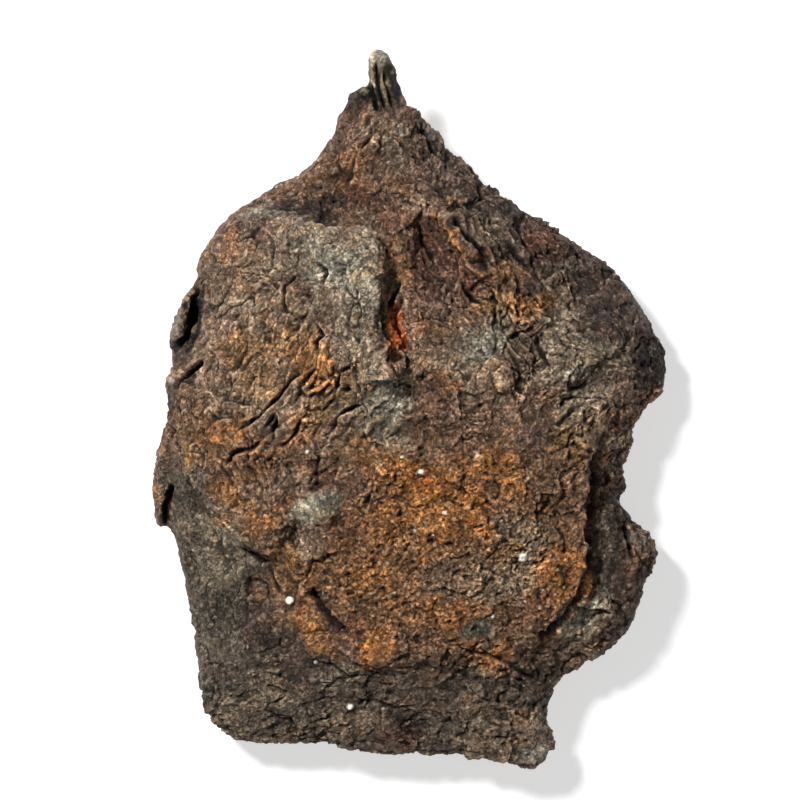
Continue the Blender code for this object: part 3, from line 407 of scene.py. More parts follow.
def cell_number(cell, seed):
    """Return a repeatable whole number for each cell of a grid."""
    mixed = cell[:, 0] * 374761393 + cell[:, 1] * 668265263 + cell[:, 2] * 1440662683
    mixed = (mixed + seed * 1274126177) & WORD
    mixed = ((mixed ^ (mixed >> 13)) * 1103515245) & WORD
    mixed = ((mixed ^ (mixed >> 16)) * 1274126177) & WORD
    return mixed ^ (mixed >> 15)


def three_numbers(whole):
    """Split whole numbers into three numbers from 0 to 1 each."""
    parts = [(whole >> shift) & TEN_BITS for shift in (0, 10, 20)]
    return np.stack(parts, axis=1) / TEN_BITS


def smooth_noise(places, seed):
    """Return smooth noise from about -1 to 1 that changes over a length of one."""
    cell = np.floor(places).astype(np.int64)
    inside = places - cell
    fade = inside ** 3 * (inside * (inside * 6.0 - 15.0) + 10.0)
    total = np.zeros(len(places))
    for corner in itertools.product((0, 1), repeat=3):
        slope = SLOPES[cell_number(cell + corner, seed) % len(SLOPES)]
        share = np.prod(np.where(corner, fade, 1.0 - fade), axis=1)
        total += share * np.einsum("ij,ij->i", slope, inside - corner)
    return NOISE_GAIN * total


def layered_noise(places, seed, layers):
    """Return smooth noise with finer and weaker layers of itself on top."""
    total = np.zeros(len(places))
    for layer in range(layers):
        total += smooth_noise(places * 2.0 ** layer, seed + layer) * 0.5 ** layer
    return total


def chips(places, seed):
    """Return the height of the flat, tilted chip at each place and the distance to its border."""
    cell = np.floor(places).astype(np.int64)
    nearest = np.full(len(places), np.inf)
    second = np.full(len(places), np.inf)
    height = np.zeros(len(places))
    for shift in itertools.product((-1, 0, 1), repeat=3):
        near = cell + shift
        gap = places - near - three_numbers(cell_number(near, seed))
        tilt = three_numbers(cell_number(near, seed + 1)) - 0.5
        distance = np.einsum("ij,ij->i", gap, gap)
        closer = distance < nearest
        second = np.where(closer, nearest, np.minimum(second, distance))
        nearest = np.where(closer, distance, nearest)
        lift = 1.3 * np.einsum("ij,ij->i", gap, tilt) + 0.5 * tilt[:, 0]
        height = np.where(closer, lift, height)
    return height, np.sqrt(second) - np.sqrt(nearest)


def strays(places, size, seed, layers, axes):
    """Return noise along each of the first axes, which places are moved by."""
    return np.stack([layered_noise(places / size, seed + 10 * axis, layers)
                     for axis in range(axes)], 1)


# --- Lines and patches ---

END_FADE = 1.6  # length over which a line fades in and out at its ends
SOFT = 0.9  # width of a patch's border over its half width
SHARP = 0.4


def smooth_step(value):
    """Return 0 below 0, 1 above 1 and an even slope between."""
    held = np.clip(value, 0.0, 1.0)
    return held * held * (3.0 - 2.0 * held)


def distance_to_line(points, plan):
    """Return each place's distance from a bent line and its share of the line's full effect.

    The distance is above zero on the left of the way the line runs. The share is 1 along the line
    and falls to 0 at its two ends.
    """
    x, y = plan[:, 0], plan[:, 1]
    nearest = np.full(len(plan), np.inf)
    side = np.ones(len(plan))
    walked = np.zeros(len(plan))
    length = 0.0
    for (ax, ay), (bx, by) in zip(points[:-1], points[1:]):
        run_x, run_y = bx - ax, by - ay
        run = math.hypot(run_x, run_y)
        along = np.clip(((x - ax) * run_x + (y - ay) * run_y) / run ** 2, 0.0, 1.0)
        gap_x, gap_y = x - ax - along * run_x, y - ay - along * run_y
        gap = np.hypot(gap_x, gap_y)
        closer = gap < nearest
        side = np.where(closer, np.where(run_x * gap_y < run_y * gap_x, -1.0, 1.0), side)
        walked = np.where(closer, length + along * run, walked)
        nearest = np.where(closer, gap, nearest)
        length += run
    fade = smooth_step(walked / END_FADE) * smooth_step((length - walked) / END_FADE)
    return side * nearest, fade


def patch_share(plan, x, y, half_length, half_width, degrees, softness):
    """Return how much each place belongs to an oval patch, from 0 outside to 1 inside."""
    turn = math.radians(degrees)
    gap_x, gap_y = plan[:, 0] - x, plan[:, 1] - y
    along = (gap_x * math.cos(turn) + gap_y * math.sin(turn)) / half_length
    across = (gap_y * math.cos(turn) - gap_x * math.sin(turn)) / half_width
    return smooth_step((1.0 + softness / 2.0 - np.hypot(along, across)) / softness)


# --- The skin ---

OUTWARD_PASSES = 6  # how far the directions that the relief rises in are evened out
CAVITY_PASSES = 3  # how far around each place the small hollows are measured
HOLLOW_PASSES = 50  # how far around it the wide ones are


def read(items, name, width, kind):
    """Return one property of all the items as an array with this many columns."""
    flat = np.empty(width * len(items), dtype=kind)
    items.foreach_get(name, flat)
    return flat.reshape(-1, width)


class Skin:
    """The fine mesh of the fragment as arrays, in millimetres."""

    def __init__(self, mesh):
        self.places = read(mesh.vertices, "co", 3, float) * MM_PER_M
        self.first, self.second = read(mesh.edges, "vertices", 2, np.int32).T
        self.links = np.bincount(self.first, minlength=len(self.places))
        self.links += np.bincount(self.second, minlength=len(self.places))
        self.outward = self.evened(read(mesh.vertices, "normal", 3, float), OUTWARD_PASSES)
        self.outward /= np.linalg.norm(self.outward, axis=1)[:, None]

    def evened(self, values, passes):
        """Return the values evened out with their neighbours this many times."""
        for _ in range(passes):
            total = np.empty_like(values)
            for axis in range(values.shape[1]):
                column = values[:, axis]
                total[:, axis] = np.bincount(self.first, column[self.second], len(values))
                total[:, axis] += np.bincount(self.second, column[self.first], len(values))
            values = 0.5 * values + 0.5 * total / self.links[:, None]
        return values

    def write(self, mesh):
        """Put the places back into the mesh, in metres."""
        mesh.vertices.foreach_set("co", (self.places * MM).ravel())
        mesh.update()


def placed(name, data, location=(0.0, 0.0, 0.0)):
    """Return a new object with this data, put into the scene."""
    thing = bpy.data.objects.new(name, data)
    thing.location = location
    bpy.context.scene.collection.objects.link(thing)
    return thing


def finished_mesh(source, modifiers):
    """Return the mesh that this mesh becomes after the given modifiers."""
    worker = placed("worker", source)
    for kind, settings in modifiers:
        modifier = worker.modifiers.new(kind, kind)
        for name, value in settings.items():
            setattr(modifier, name, value)
    graph = bpy.context.evaluated_depsgraph_get()
    result = bpy.data.meshes.new_from_object(worker.evaluated_get(graph))
    bpy.data.objects.remove(worker, do_unlink=True)
    bpy.data.meshes.remove(source)
    return result


def fine_mesh(sizes):
    """Lay a fine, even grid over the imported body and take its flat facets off."""
    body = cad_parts[CAD_NODE].data.copy()
    return finished_mesh(body, [
        ("WELD", {"merge_threshold": 0.000001}),
        ("REMESH", {"mode": "VOXEL", "voxel_size": sizes.grid}),
        ("SMOOTH", {"factor": 0.5, "iterations": sizes.rounding}),
    ])


def fold_shares(plan):
    """Return how much of each fold direction is at each place."""
    across = np.full(len(plan), FOLD_LEAST)
    along = np.zeros(len(plan))
    for x, y, degrees, reach in FOLD_DIRECTIONS:
        near = np.exp(-((plan[:, 0] - x) ** 2 + (plan[:, 1] - y) ** 2) / reach ** 2)
        across += near * math.cos(2.0 * math.radians(degrees))
        along += near * math.sin(2.0 * math.radians(degrees))
    heading = 0.5 * np.arctan2(along, across)
    shares = []
    for turn in range(FOLD_TURNS):
        angle = math.pi * turn / FOLD_TURNS
        shares.append(np.maximum(np.cos(2.0 * (heading - angle)), 0.0) ** 3 + FOLD_LEAST)
    return np.array(shares) / np.sum(shares, axis=0)


def along_folds(places, shares, size, seed):
    """Return smooth noise from about -1 to 1 that is drawn out along the folds."""
    total = np.zeros(len(places))
    for turn in range(FOLD_TURNS):
        angle = math.pi * turn / FOLD_TURNS
        along = places[:, 0] * math.cos(angle) + places[:, 1] * math.sin(angle)
        across = places[:, 1] * math.cos(angle) - places[:, 0] * math.sin(angle)
        turned = np.stack((along / (size * FOLD_STRETCH), across / size, places[:, 2] / size), 1)
        total += shares[turn] * smooth_noise(turned, seed + turn)
    return total


def torn_sheets(swell, steps):
    """Cut a swell into sheets: each rises slowly and breaks off at a sharp edge, from 0 to 1."""
    part = (swell * steps) % 1.0
    return np.minimum(part / SHEET_RISE, (1.0 - part) / (1.0 - SHEET_RISE))


def area_share(plan, patches):
    """Return how far each place belongs to any of the patches."""
    share = np.zeros(len(plan))
    for patch in patches:
        share = np.maximum(share, patch_share(plan, *patch, SOFT))
    return share


def edge_relief(plan):
    """Return the height of the named steep edges."""
    height = np.zeros(len(plan))
    for points, steep, reach, rise in STEEP_EDGES:
        gap, fade = distance_to_line(points, plan)
        slope = smooth_step(0.5 + gap / steep) * np.exp(-(np.maximum(gap, 0.0) / reach) ** 2)
        height += rise * slope * fade
    return height


def crack_relief(plan, start):
    """Return the depth of the named cracks, which widen, narrow and deepen as they run."""
    width = 0.95 + CRACK_CHANGE * smooth_noise(start / CRACK_WIDTH_SIZE, SEEDS["crack width"])
    deeper = CRACK_CHANGE * smooth_noise(start / CRACK_DEPTH_SIZE, SEEDS["crack depth"])
    cut = np.zeros(len(plan))
    for points, half_width, depth in CRACKS:
        gap, fade = distance_to_line(points, plan)
        wall = np.clip(1.25 - np.abs(gap) / (CRACK_REACH * half_width * width), 0.0, 1.0)
        cut = np.maximum(cut, depth * wall * fade)
    return cut * np.clip(0.85 + deeper, 0.3, 1.2)


def broken_relief(start, strayed, crumbled, split):
    """Return the height of the chips, torn sheets and fissures, and how deep the fissures are."""
    shares = fold_shares(start[:, :2])
    height = np.zeros(len(start))
    for layer, (size, steps, rise) in enumerate(zip(SHEET_SIZES, SHEET_STEPS, SHEET_HEIGHTS)):
        swell = along_folds(strayed, shares, size, SEEDS["sheets"] + 20 * layer)
        sheets = torn_sheets(swell, steps)
        height += rise * (0.5 + 1.0 * split) * (1.0 - 0.6 * crumbled) * (sheets - 0.5 + 0.6 * swell)
    for layer, (size, rise) in enumerate(zip(CHIP_SIZES, CHIP_HEIGHTS)):
        height += rise * chips(strayed / size, SEEDS["chips"] + 10 * layer)[0]
    fissures = np.zeros(len(start))
    for layer, (size, width, depth) in enumerate(
            zip(FISSURE_SIZES, FISSURE_WIDTHS, FISSURE_DEPTHS)):
        crease = np.abs(along_folds(strayed, shares, size, SEEDS["fissures"] + 20 * layer))
        where = 1.6 * smooth_noise(start / (1.4 * size), SEEDS["fissure places"] + layer)
        where = smooth_step(0.25 + 0.4 * split + where)
        fissures += depth * smooth_step(1.0 - crease / width) * where
    ribs = 1.0 - 2.0 * np.abs(along_folds(strayed, shares, RIB_SIZE, SEEDS["ribs"]))
    height += RIB_HEIGHT * (0.55 + 0.7 * split) * (1.0 - 0.5 * crumbled) * ribs
    patchy = 0.85 + 0.50 * layered_noise(start / PATCHY_SIZE, SEEDS["patchy"], 2)
    patchy = np.clip(patchy, 0.4, 1.4)
    fissures *= patchy * (1.0 - 0.4 * crumbled)
    return height * patchy - fissures, fissures


def grain_relief(start, strayed, crumbled):
    """Return the height of the crumbs, the pits and the fine roughness."""
    grain, rim = chips((start + 0.25 * (strayed - start)) / GRAIN_SIZE, SEEDS["grain"])
    height = crumbled * (0.30 * np.minimum(rim * 1.8, 1.0) + 0.36 * grain)
    pits = smooth_step(2.4 * layered_noise(strayed / PIT_SIZE, SEEDS["pits"], 2) - 0.9)
    height -= (0.16 + 0.30 * crumbled) * pits
    return height + ROUGH_HEIGHT * layered_noise(start / ROUGH_SIZE, SEEDS["roughness"], 2)


def shape_skin(skin, sizes):
    """Break up the skin with edges, sheets, chips, cracks, crumbs and pits."""
    start = skin.places.copy()
    wander = strays(start, WANDER_SIZE, SEEDS["wander"], 3, 3)
    strayed = start + CRUST_WARP * wander
    plan = (start + LINE_WARP * wander)[:, :2]
    upper = smooth_step(0.5 + 1.6 * skin.outward[:, 2])
    crumbled = area_share(plan, CRUMBLED) * upper
    split = area_share(plan, SPLIT) * upper
    calm = UNDERSIDE_CALM + (1.0 - UNDERSIDE_CALM) * upper

    broken, fissures = broken_relief(start, strayed, crumbled, split)
    broken += grain_relief(start, strayed, crumbled)
    for *patch, lost in SMOOTH_AREAS:
        broken *= 1.0 - lost * upper * patch_share(plan, *patch, SOFT)
    cut = crack_relief(plan, start) * upper
    height = edge_relief(plan) * upper + sizes.relief * calm * broken - sizes.crack_depth * cut
    for x, y, radius, _ in BRIGHT_CRUMBS:
        gap = np.hypot(start[:, 0] - x, start[:, 1] - y) / radius
        height += CRUMB_DOME * radius * np.sqrt(np.clip(1.0 - gap ** 2, 0.0, 1.0)) * upper

    resting = smooth_step(1.0 - start[:, 2] / RESTING_HEIGHT)
    height = np.where(skin.outward[:, 2] < 0.0, height * (1.0 - resting), height)
    skin.places = start + skin.outward * height[:, None]
    skin.places += SKIN_WARP * wander * (calm * (1.0 - resting))[:, None]
    skin.places[:, 2] = np.maximum(skin.places[:, 2], 0.0)
    return smooth_step(cut), smooth_step(fissures / FISSURE_DEPTHS[0]), crumbled


def cavity_of(skin, passes):
    """Return how far each place stands out of the skin around it, in millimetres."""
    around = skin.evened(skin.places.copy(), passes)
    return np.einsum("ij,ij->i", skin.places - around, skin.outward)


# --- Colour ---

TONE_SIZE = 3.6  # width of the lighter and darker spots
TONE_CHANGE = 0.54
TONE_LIMITS = (0.4, 1.7)
UNDERSIDE_PAINT = 0.25  # share of the patches of colour that the underside has
WORN_BENDS = 1.4  # size of the bays in the borders of worn edges
WORN_STRAY = 0.8
RAGGED_SIZE = 3.6  # size of the bays in the borders of patches of colour
ZONE_STRAY = 3.2  # how far the borders of zones, patches and sharp patches stray
PATCH_STRAY = 1.5
SHARP_STRAY = 0.55


def crust_tint(skin, colours):
    """Return the crust's colour at each place, painted patch by patch."""
    ragged = strays(skin.places, RAGGED_SIZE, SEEDS["ragged"], 4, 2)
    tint = np.tile(np.array(colours.brown), (len(skin.places), 1))
    tone = 1.0 + TONE_CHANGE * layered_noise(skin.places / TONE_SIZE, SEEDS["tone"], 3)
    facing = np.where(skin.outward[:, 2] > -0.15, 1.0, UNDERSIDE_PAINT)
    for patches, stray, softness in ((CRUST_ZONES, ZONE_STRAY, SOFT),
                                     (CRUST_PATCHES, PATCH_STRAY, SOFT),
                                     (SHARP_PATCHES, SHARP_STRAY, SHARP)):
        plan = skin.places[:, :2] + stray * ragged
        for name, *oval, share in patches:
            covered = patch_share(plan, *oval, softness) * facing
            tint += (np.array(getattr(colours, name)) - tint) * (share * covered)[:, None]
    return tint * tone.clip(*TONE_LIMITS)[:, None]


def worn_share(skin, cavity):
    """Return where edges are worn to bare metal."""
    bends = strays(skin.places, WORN_BENDS, SEEDS["worn"], 2, 2)
    plan = skin.places[:, :2] + WORN_STRAY * bends
    worn = np.zeros(len(plan))
    for *oval, share in WORN_EDGES:
        worn = np.maximum(worn, share * patch_share(plan, *oval, SOFT))
    sharp = smooth_step((cavity - 0.05) / 0.22)
    return np.clip(worn * (0.35 + 0.9 * sharp) + 0.25 * smooth_step((cavity - 0.2) / 0.2), 0.0, 1.0)


def crumb_share(skin):
    """Return where the small bright crumbs are."""
    share = np.zeros(len(skin.places))
    for x, y, radius, whiteness in BRIGHT_CRUMBS:
        gap = np.hypot(skin.places[:, 0] - x, skin.places[:, 1] - y)
        share = np.maximum(share, whiteness * smooth_step((radius * 1.15 - gap) / (0.4 * radius)))
    return share * (skin.outward[:, 2] > 0.0)


def write_attribute(mesh, name, values):
    """Store one number, or one colour, for each vertex."""
    if values.ndim == 1:
        attribute = mesh.attributes.new(name, "FLOAT", "POINT")
        attribute.data.foreach_set("value", values.astype(np.float32))
        return
    attribute = mesh.attributes.new(name, "FLOAT_COLOR", "POINT")
    full = np.column_stack((values, np.ones(len(values)))).astype(np.float32)
    attribute.data.foreach_set("color", full.ravel())


MIX_SHARE, MIX_FIRST, MIX_SECOND, MIX_RESULT = 0, 6, 7, 2  # places of the colour sockets


class Nodes:
    """Short ways to add and join shader nodes."""

    def __init__(self, owner):
        owner.use_nodes = True
        self.tree = owner.node_tree

    def give(self, socket, value):
        """Link an output to a socket, or set the socket to a plain number or colour."""
        if isinstance(value, bpy.types.NodeSocket):
            self.tree.links.new(value, socket)
        elif socket.type == "RGBA":
            socket.default_value = (*value[:3], 1.0)
        else:
            socket.default_value = value

    def add(self, kind, inputs, **settings):
        """Add a node with these values for its inputs and its settings."""
        node = self.tree.nodes.new(kind)
        for name, value in settings.items():
            setattr(node, name, value)
        for key, value in inputs.items():
            self.give(node.inputs[key], value)
        return node

    def maths(self, operation, first, second=0.0):
        """Work out one number from two."""
        return self.add("ShaderNodeMath", {0: first, 1: second}, operation=operation).outputs[0]

    def mapped(self, value, low, high, to_low, to_high):
        """Stretch a number from one range to another and hold it there."""
        ends = {"From Min": low, "From Max": high, "To Min": to_low, "To Max": to_high}
        return self.add("ShaderNodeMapRange", {"Value": value, **ends}).outputs["Result"]

    def mixed(self, share, first, second, blend="MIX"):
        """Mix two colours by a share."""
        inputs = {MIX_SHARE: share, MIX_FIRST: first, MIX_SECOND: second}
        node = self.add("ShaderNodeMix", inputs, data_type="RGBA", blend_type=blend)
        return node.outputs[MIX_RESULT]

    def noise(self, place, size, detail, roughness=0.6):
        """Noise with this wavelength in metres."""
        return self.add("ShaderNodeTexNoise", {
            "Vector": place, "Scale": 1.0 / size, "Detail": detail, "Roughness": roughness})

    def cells(self, place, size):
        """Cells with this spacing in metres."""
        return self.add("ShaderNodeTexVoronoi", {"Vector": place, "Scale": 1.0 / size})


def fine_creases(nodes, place, size, width):
    """Return thin, broken creases, 1 along them and 0 between, with this spacing in metres."""
    stray = nodes.noise(place, 1.1 * size, 2.0).outputs["Color"]
    moved = nodes.add("ShaderNodeVectorMath", {0: stray, 1: (0.8 * size,) * 3, 2: place},
                      operation="MULTIPLY_ADD")
    field = nodes.noise(moved.outputs[0], size, 4.0, 0.65).outputs["Fac"]
    offset = nodes.maths("ABSOLUTE", nodes.maths("SUBTRACT", field, 0.5))
    return nodes.mapped(offset, 0.0, width, 1.0, 0.0)


SHEEN = 0.30  # strength of the crust's dull shine
BARE_METALLIC = 0.3
MOTTLE_SIZE = 1.5 * MM
FINE_GRAIN_SIZE = 0.35 * MM
FLECK_SIZE = 0.50 * MM
GRIT_SIZE = 0.42 * MM
LUMP_SIZE = 0.8 * MM
CREASES = {"creases": (1.3 * MM, 0.04), "small creases": (0.65 * MM, 0.055)}
BUMP_HEIGHT = 0.50 * MM
CRUMB_BUMP = 0.15  # share of the bump that the bright crumbs keep
GLINT_LIMIT = 0.93  # only flecks above this can glint

# What each pattern does to the crust's brightness: (pattern, its low and high, brightness there)
# Mottle, grain and fleck are the crust's own uneven tone. Cavity and hollow are painted shade in
# the hollows and painted light on the high spots; crack, fissure and the creases are painted shade.
SHADES = [
    ("mottle", 0.30, 0.70, 0.72, 1.84), ("grain", 0.30, 0.70, 0.68, 1.32),
    ("cavity", -0.15, 0.15, 0.42, 1.58), ("hollow", -0.55, 0.35, 0.36, 1.30),
    ("fleck", 0.0, 1.0, 0.76, 1.24), ("crack", 0.0, 1.0, 1.0, 0.30),
    ("fissure", 0.0, 1.0, 1.0, 0.45), ("creases", 0.0, 1.0, 1.06, 0.50),
    ("small creases", 0.0, 1.0, 1.05, 0.60),
]
# Rusty and grey casts on the crust: (size, where it starts and is full, most share, cast)
CASTS = [
    (2.4 * MM, 0.52, 0.68, 0.68, (1.28, 0.96, 0.56)),
    (1.9 * MM, 0.54, 0.72, 0.60, (0.73, 0.80, 0.75)),
]


def crust_patterns(nodes, place):
    """Return the patterns that the crust is made of, by name."""
    names = ("cavity", "hollow", "crack", "fissure", "worn", "crumb", "crumbled")
    patterns = {name: nodes.add("ShaderNodeAttribute", {}, attribute_name=name).outputs["Fac"]
                for name in names}
    patterns["mottle"] = nodes.noise(place, MOTTLE_SIZE, 5.0, 0.7).outputs["Fac"]
    patterns["grain"] = nodes.noise(place, FINE_GRAIN_SIZE, 3.0, 0.7).outputs["Fac"]
    for name, (size, width) in CREASES.items():
        patterns[name] = fine_creases(nodes, place, size, width)
    flecks = nodes.cells(place, FLECK_SIZE).outputs["Color"]
    fleck = nodes.add("ShaderNodeSeparateColor", {"Color": flecks})
    patterns["fleck"] = fleck.outputs["Red"]
    # Painted glints: raised flecks get a bright colour in place of glints of light.
    lit = nodes.maths("GREATER_THAN", fleck.outputs["Green"], GLINT_LIMIT)
    high = nodes.mapped(patterns["cavity"], -0.02, 0.1, 0.05, 0.85)
    patterns["glint"] = nodes.maths("MULTIPLY", lit, high)
    clean = nodes.mapped(patterns["grain"], 0.35, 0.6, 0.35, 1.0)
    patterns["bare"] = nodes.maths("MULTIPLY", patterns["worn"], clean)
    return patterns


def crust_colour(nodes, place, patterns, colours):
    """Return the colour: the painted tint, toned, with painted shade and light, cast, with painted
    glints, and bright where metal or crumbs show.
    """
    shades = [nodes.mapped(patterns[name], *span) for name, *span in SHADES]
    shade = functools.reduce(lambda one, other: nodes.maths("MULTIPLY", one, other), shades)
    tint = nodes.add("ShaderNodeAttribute", {}, attribute_name="tint").outputs["Color"]
    colour = nodes.mixed(1.0, tint, shade, "MULTIPLY")
    for size, low, high, most, cast in CASTS:
        share = nodes.mapped(nodes.noise(place, size, 4.0).outputs["Color"], low, high, 0.0, most)
        colour = nodes.mixed(share, colour, nodes.mixed(1.0, colour, cast, "MULTIPLY"))
    colour = nodes.mixed(patterns["glint"], colour, colours.glint)
    colour = nodes.mixed(patterns["bare"], colour, colours.metal)
    return nodes.mixed(patterns["crumb"], colour, colours.crumb)


def crust_roughness(nodes, patterns):
    """Return the roughness: dull where the crust is loose, smoother on bare metal."""
    rough = nodes.mapped(patterns["mottle"], 0.30, 0.75, 0.46, 0.70)
    rough = nodes.maths("ADD", rough, nodes.mapped(patterns["crumbled"], 0.0, 1.0, 0.0, 0.12))
    return nodes.maths("SUBTRACT", rough, nodes.maths("MULTIPLY", patterns["bare"], 0.22))


def crust_bump(nodes, place, patterns):
    """Return the surface direction with the finest grit, lumps and creases in it."""
    grit = nodes.cells(place, GRIT_SIZE).outputs["Distance"]
    lumps = nodes.noise(place, LUMP_SIZE, 6.0, 0.74).outputs["Fac"]
    relief = nodes.maths("MULTIPLY", lumps, 0.9)
    for value, depth in ((grit, -0.25), (patterns["creases"], -0.55),
                         (patterns["small creases"], -0.30)):
        relief = nodes.maths("ADD", relief, nodes.maths("MULTIPLY", value, depth))
    strength = nodes.mapped(patterns["crumb"], 0.0, 1.0, 1.0, CRUMB_BUMP)
    return nodes.add("ShaderNodeBump", {
        "Strength": strength, "Distance": BUMP_HEIGHT, "Height": relief}).outputs["Normal"]


def new_material(name):
    """Return a new material and its nodes."""
    material = bpy.data.materials.new(name)
    return material, Nodes(material)


def finish_shader(nodes, inputs):
    """Give the shader of a material its values."""
    shader = nodes.tree.nodes["Principled BSDF"]
    for name, value in inputs.items():
        nodes.give(shader.inputs[name], value)


def crust_material(colours):
    """Make the rusted iron: grain, painted shade in hollows and light on high spots, worn metal."""
    material, nodes = new_material("rusted_iron_crust")
    place = nodes.add("ShaderNodeTexCoord", {}).outputs["Object"]
    patterns = crust_patterns(nodes, place)
    finish_shader(nodes, {
        "Base Color": crust_colour(nodes, place, patterns, colours),
        "Specular IOR Level": SHEEN,
        "Roughness": crust_roughness(nodes, patterns),
        "Metallic": nodes.maths("MULTIPLY", patterns["bare"], BARE_METALLIC),
        "Normal": crust_bump(nodes, place, patterns),
    })
    return material


# --- Surface map ---

MAP_NAME = "OFBake"
MAP_MARGIN = 3.0  # free border of each half of the map, in millimetres
RIM_ROLL = 3.0  # radius that the rim is unrolled with


def add_map(mesh, before):
    """Lay the upper side and the underside flat, side by side, with the rim unrolled outwards."""
    plan = before.places[:, :2]
    level = np.hypot(before.outward[:, 0], before.outward[:, 1])
    rise = np.arccos(np.clip(level, 0.0, 1.0))
    roll = RIM_ROLL * (0.5 * math.pi - rise - level.clip(0.0, 1.0))
    away = before.outward[:, :2] / np.maximum(level, 1e-6)[:, None]
    spread = plan + away * np.maximum(roll, 0.0)[:, None]
    low = spread.min(axis=0) - MAP_MARGIN
    size = spread.max(axis=0) + MAP_MARGIN - low
    scale = 1.0 / max(2.0 * size[0], size[1])
    upper_map = (spread - low) * scale
    lower_map = upper_map.copy()
    lower_map[:, 0] = 2.0 * size[0] * scale - upper_map[:, 0]

    corners = read(mesh.loops, "vertex_index", 1, np.int32)[:, 0]
    starts = read(mesh.polygons, "loop_start", 1, np.int32)[:, 0]
    totals = read(mesh.polygons, "loop_total", 1, np.int32)[:, 0]
    facing = np.add.reduceat(before.outward[corners, 2], starts)
    is_upper = np.repeat(facing >= 0.0, totals)
    layer = mesh.uv_layers.new(name=MAP_NAME)
    chosen = np.where(is_upper[:, None], upper_map[corners], lower_map[corners])
    layer.data.foreach_set("uv", chosen.astype(np.float32).ravel())


class METEORITE_OT_fragment(bpy.types.Operator):
    """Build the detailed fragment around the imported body"""

    bl_idname = "meteorite.fragment"
    bl_label = "Build fragment"

    def execute(self, context):
        sizes = context.scene.meteorite_sizes
        colours = context.scene.meteorite_colours
        mesh = fine_mesh(sizes)
        if not mesh.vertices:
            raise RuntimeError("the packed body gave no skin")
        skin = Skin(mesh)
        add_map(mesh, skin)
        crack, fissure, crumbled = shape_skin(skin, sizes)
        skin.write(mesh)
        cavity = cavity_of(skin, CAVITY_PASSES)
        shares = {"crack": crack, "fissure": fissure, "crumbled": crumbled, "cavity": cavity,
                  "hollow": cavity_of(skin, HOLLOW_PASSES), "worn": worn_share(skin, cavity),
                  "crumb": crumb_share(skin), "tint": crust_tint(skin, colours)}
        for name, values in shares.items():
            write_attribute(mesh, name, values)
        mesh.name = "meteorite_fragment"
        mesh.materials.clear()
        mesh.materials.append(crust_material(colours))
        mesh.shade_smooth()
        fragment = placed("meteorite_fragment", mesh)
        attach(fragment, BODY)
        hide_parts(CAD_NODE)
        return {"FINISHED"}


# --- The stage ---

FLOOR_HALF = 6.0  # half width of the floor, in metres
WHITE = (1.0, 1.0, 1.0)
SENSOR = 36.0  # width of the camera's sensor
VIEW_CENTRE = (-1.34, 1.47, 8.0)  # place that the camera looks at, in millimetres
# Lamps: (name, place and size in metres, power in watts)
LAMPS = [
    ("key_lamp", (-0.31, 0.31, 0.52), 0.10, 5.7),
    ("fill_lamp", (0.42, -0.30, 0.60), 0.70, 0.7),
]
SKY_STRENGTH = 0.15  # light that the room gives
SKY_BRIGHTNESS = 0.64  # brightness of the bare backdrop, that of the far floor
FLOOR_GLOW = 0.55  # light from under the floor, as on a light table


def floor_material(colour):
    """Make the matt, pale floor."""
    material, nodes = new_material("pale_floor")
    finish_shader(nodes, {"Base Color": colour, "Roughness": 0.9,
                          "Emission Color": WHITE, "Emission Strength": FLOOR_GLOW})
    return material


def add_floor(colour):
    """Add the floor that the fragment lies on."""
    mesh = bpy.data.meshes.new("floor")
    signs = (-1, -1), (1, -1), (1, 1), (-1, 1)
    corners = [(FLOOR_HALF * x, FLOOR_HALF * y, 0.0) for x, y in signs]
    mesh.from_pydata(corners, [], [(0, 1, 2, 3)])
    mesh.materials.append(floor_material(colour))
    placed("floor", mesh)


def add_lamps():
    """Add the main light from the upper left and the weak light that opens the shadows."""
    for name, place, size, power in LAMPS:
        lamp = bpy.data.lights.new(name, "AREA")
        lamp.size = size
        lamp.energy = power
        holder = placed(name, lamp, place)
        holder.rotation_euler = (-Vector(place)).to_track_quat("-Z", "Y").to_euler()


def add_sky():
    """Light the scene evenly from all sides."""
    world = bpy.data.worlds.new("studio")
    nodes = Nodes(world)
    background = nodes.tree.nodes["Background"]
    nodes.give(background.inputs["Color"], WHITE)
    seen = nodes.add("ShaderNodeLightPath", {}).outputs["Is Camera Ray"]
    strength = nodes.mapped(seen, 0.0, 1.0, SKY_STRENGTH, SKY_BRIGHTNESS)
    nodes.give(background.inputs["Strength"], strength)
    bpy.context.scene.world = world


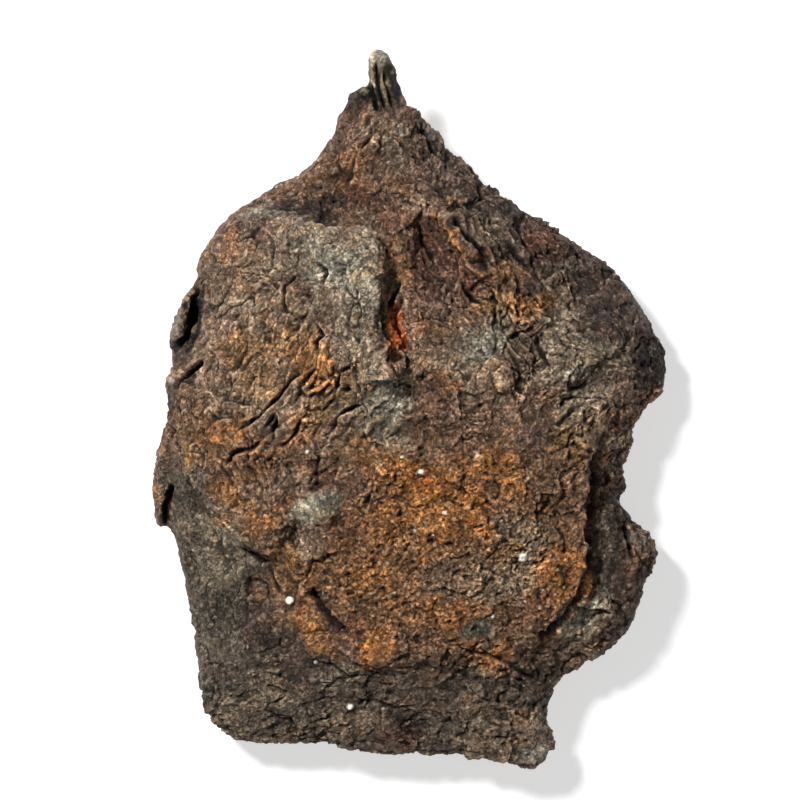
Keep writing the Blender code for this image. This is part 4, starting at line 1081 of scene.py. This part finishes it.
def add_camera(sizes):
    """Add the camera, which looks straight down on the broad face with the peak up."""
    camera = bpy.data.cameras.new("camera")
    camera.lens = sizes.lens
    camera.sensor_width = SENSOR
    camera.clip_start = 0.01
    camera.clip_end = 50.0
    x, y, z = (value * MM for value in VIEW_CENTRE)
    above = z + sizes.view_width * sizes.lens / SENSOR
    bpy.context.scene.camera = placed("camera", camera, (x, y, above))


class METEORITE_OT_stage(bpy.types.Operator):
    """Build the floor, the lights and the camera"""

    bl_idname = "meteorite.stage"
    bl_label = "Build stage"

    def execute(self, context):
        add_floor(context.scene.meteorite_colours.floor)
        add_lamps()
        add_sky()
        add_camera(context.scene.meteorite_sizes)
        context.scene.view_settings.view_transform = "Standard"
        return {"FINISHED"}


class METEORITE_PT_panel(bpy.types.Panel):
    """The sizes, colours and steps of the meteorite"""

    bl_idname = "METEORITE_PT_panel"
    bl_label = "Iron Meteorite"
    bl_space_type = "VIEW_3D"
    bl_region_type = "UI"
    bl_category = "Meteorite"

    def draw(self, context):
        for group in (context.scene.meteorite_sizes, context.scene.meteorite_colours):
            column = self.layout.column()
            for name in group.__annotations__:
                column.prop(group, name)
        for operator in (METEORITE_OT_fragment, METEORITE_OT_stage):
            self.layout.operator(operator.bl_idname)


CLASSES = (MeteoriteSizes, MeteoriteColours, METEORITE_OT_fragment, METEORITE_OT_stage,
           METEORITE_PT_panel)


def register():
    """Add the classes and the two groups of settings."""
    for item in CLASSES:
        bpy.utils.register_class(item)
    bpy.types.Scene.meteorite_sizes = bpy.props.PointerProperty(type=MeteoriteSizes)
    bpy.types.Scene.meteorite_colours = bpy.props.PointerProperty(type=MeteoriteColours)


def unregister():
    """Take the classes and the settings away again."""
    del bpy.types.Scene.meteorite_colours
    del bpy.types.Scene.meteorite_sizes
    for item in reversed(CLASSES):
        bpy.utils.unregister_class(item)


def main():
    """Build everything: the fragment and the stage."""
    register()
    bpy.ops.meteorite.fragment()
    bpy.ops.meteorite.stage()


if __name__ == "__main__":
    main()
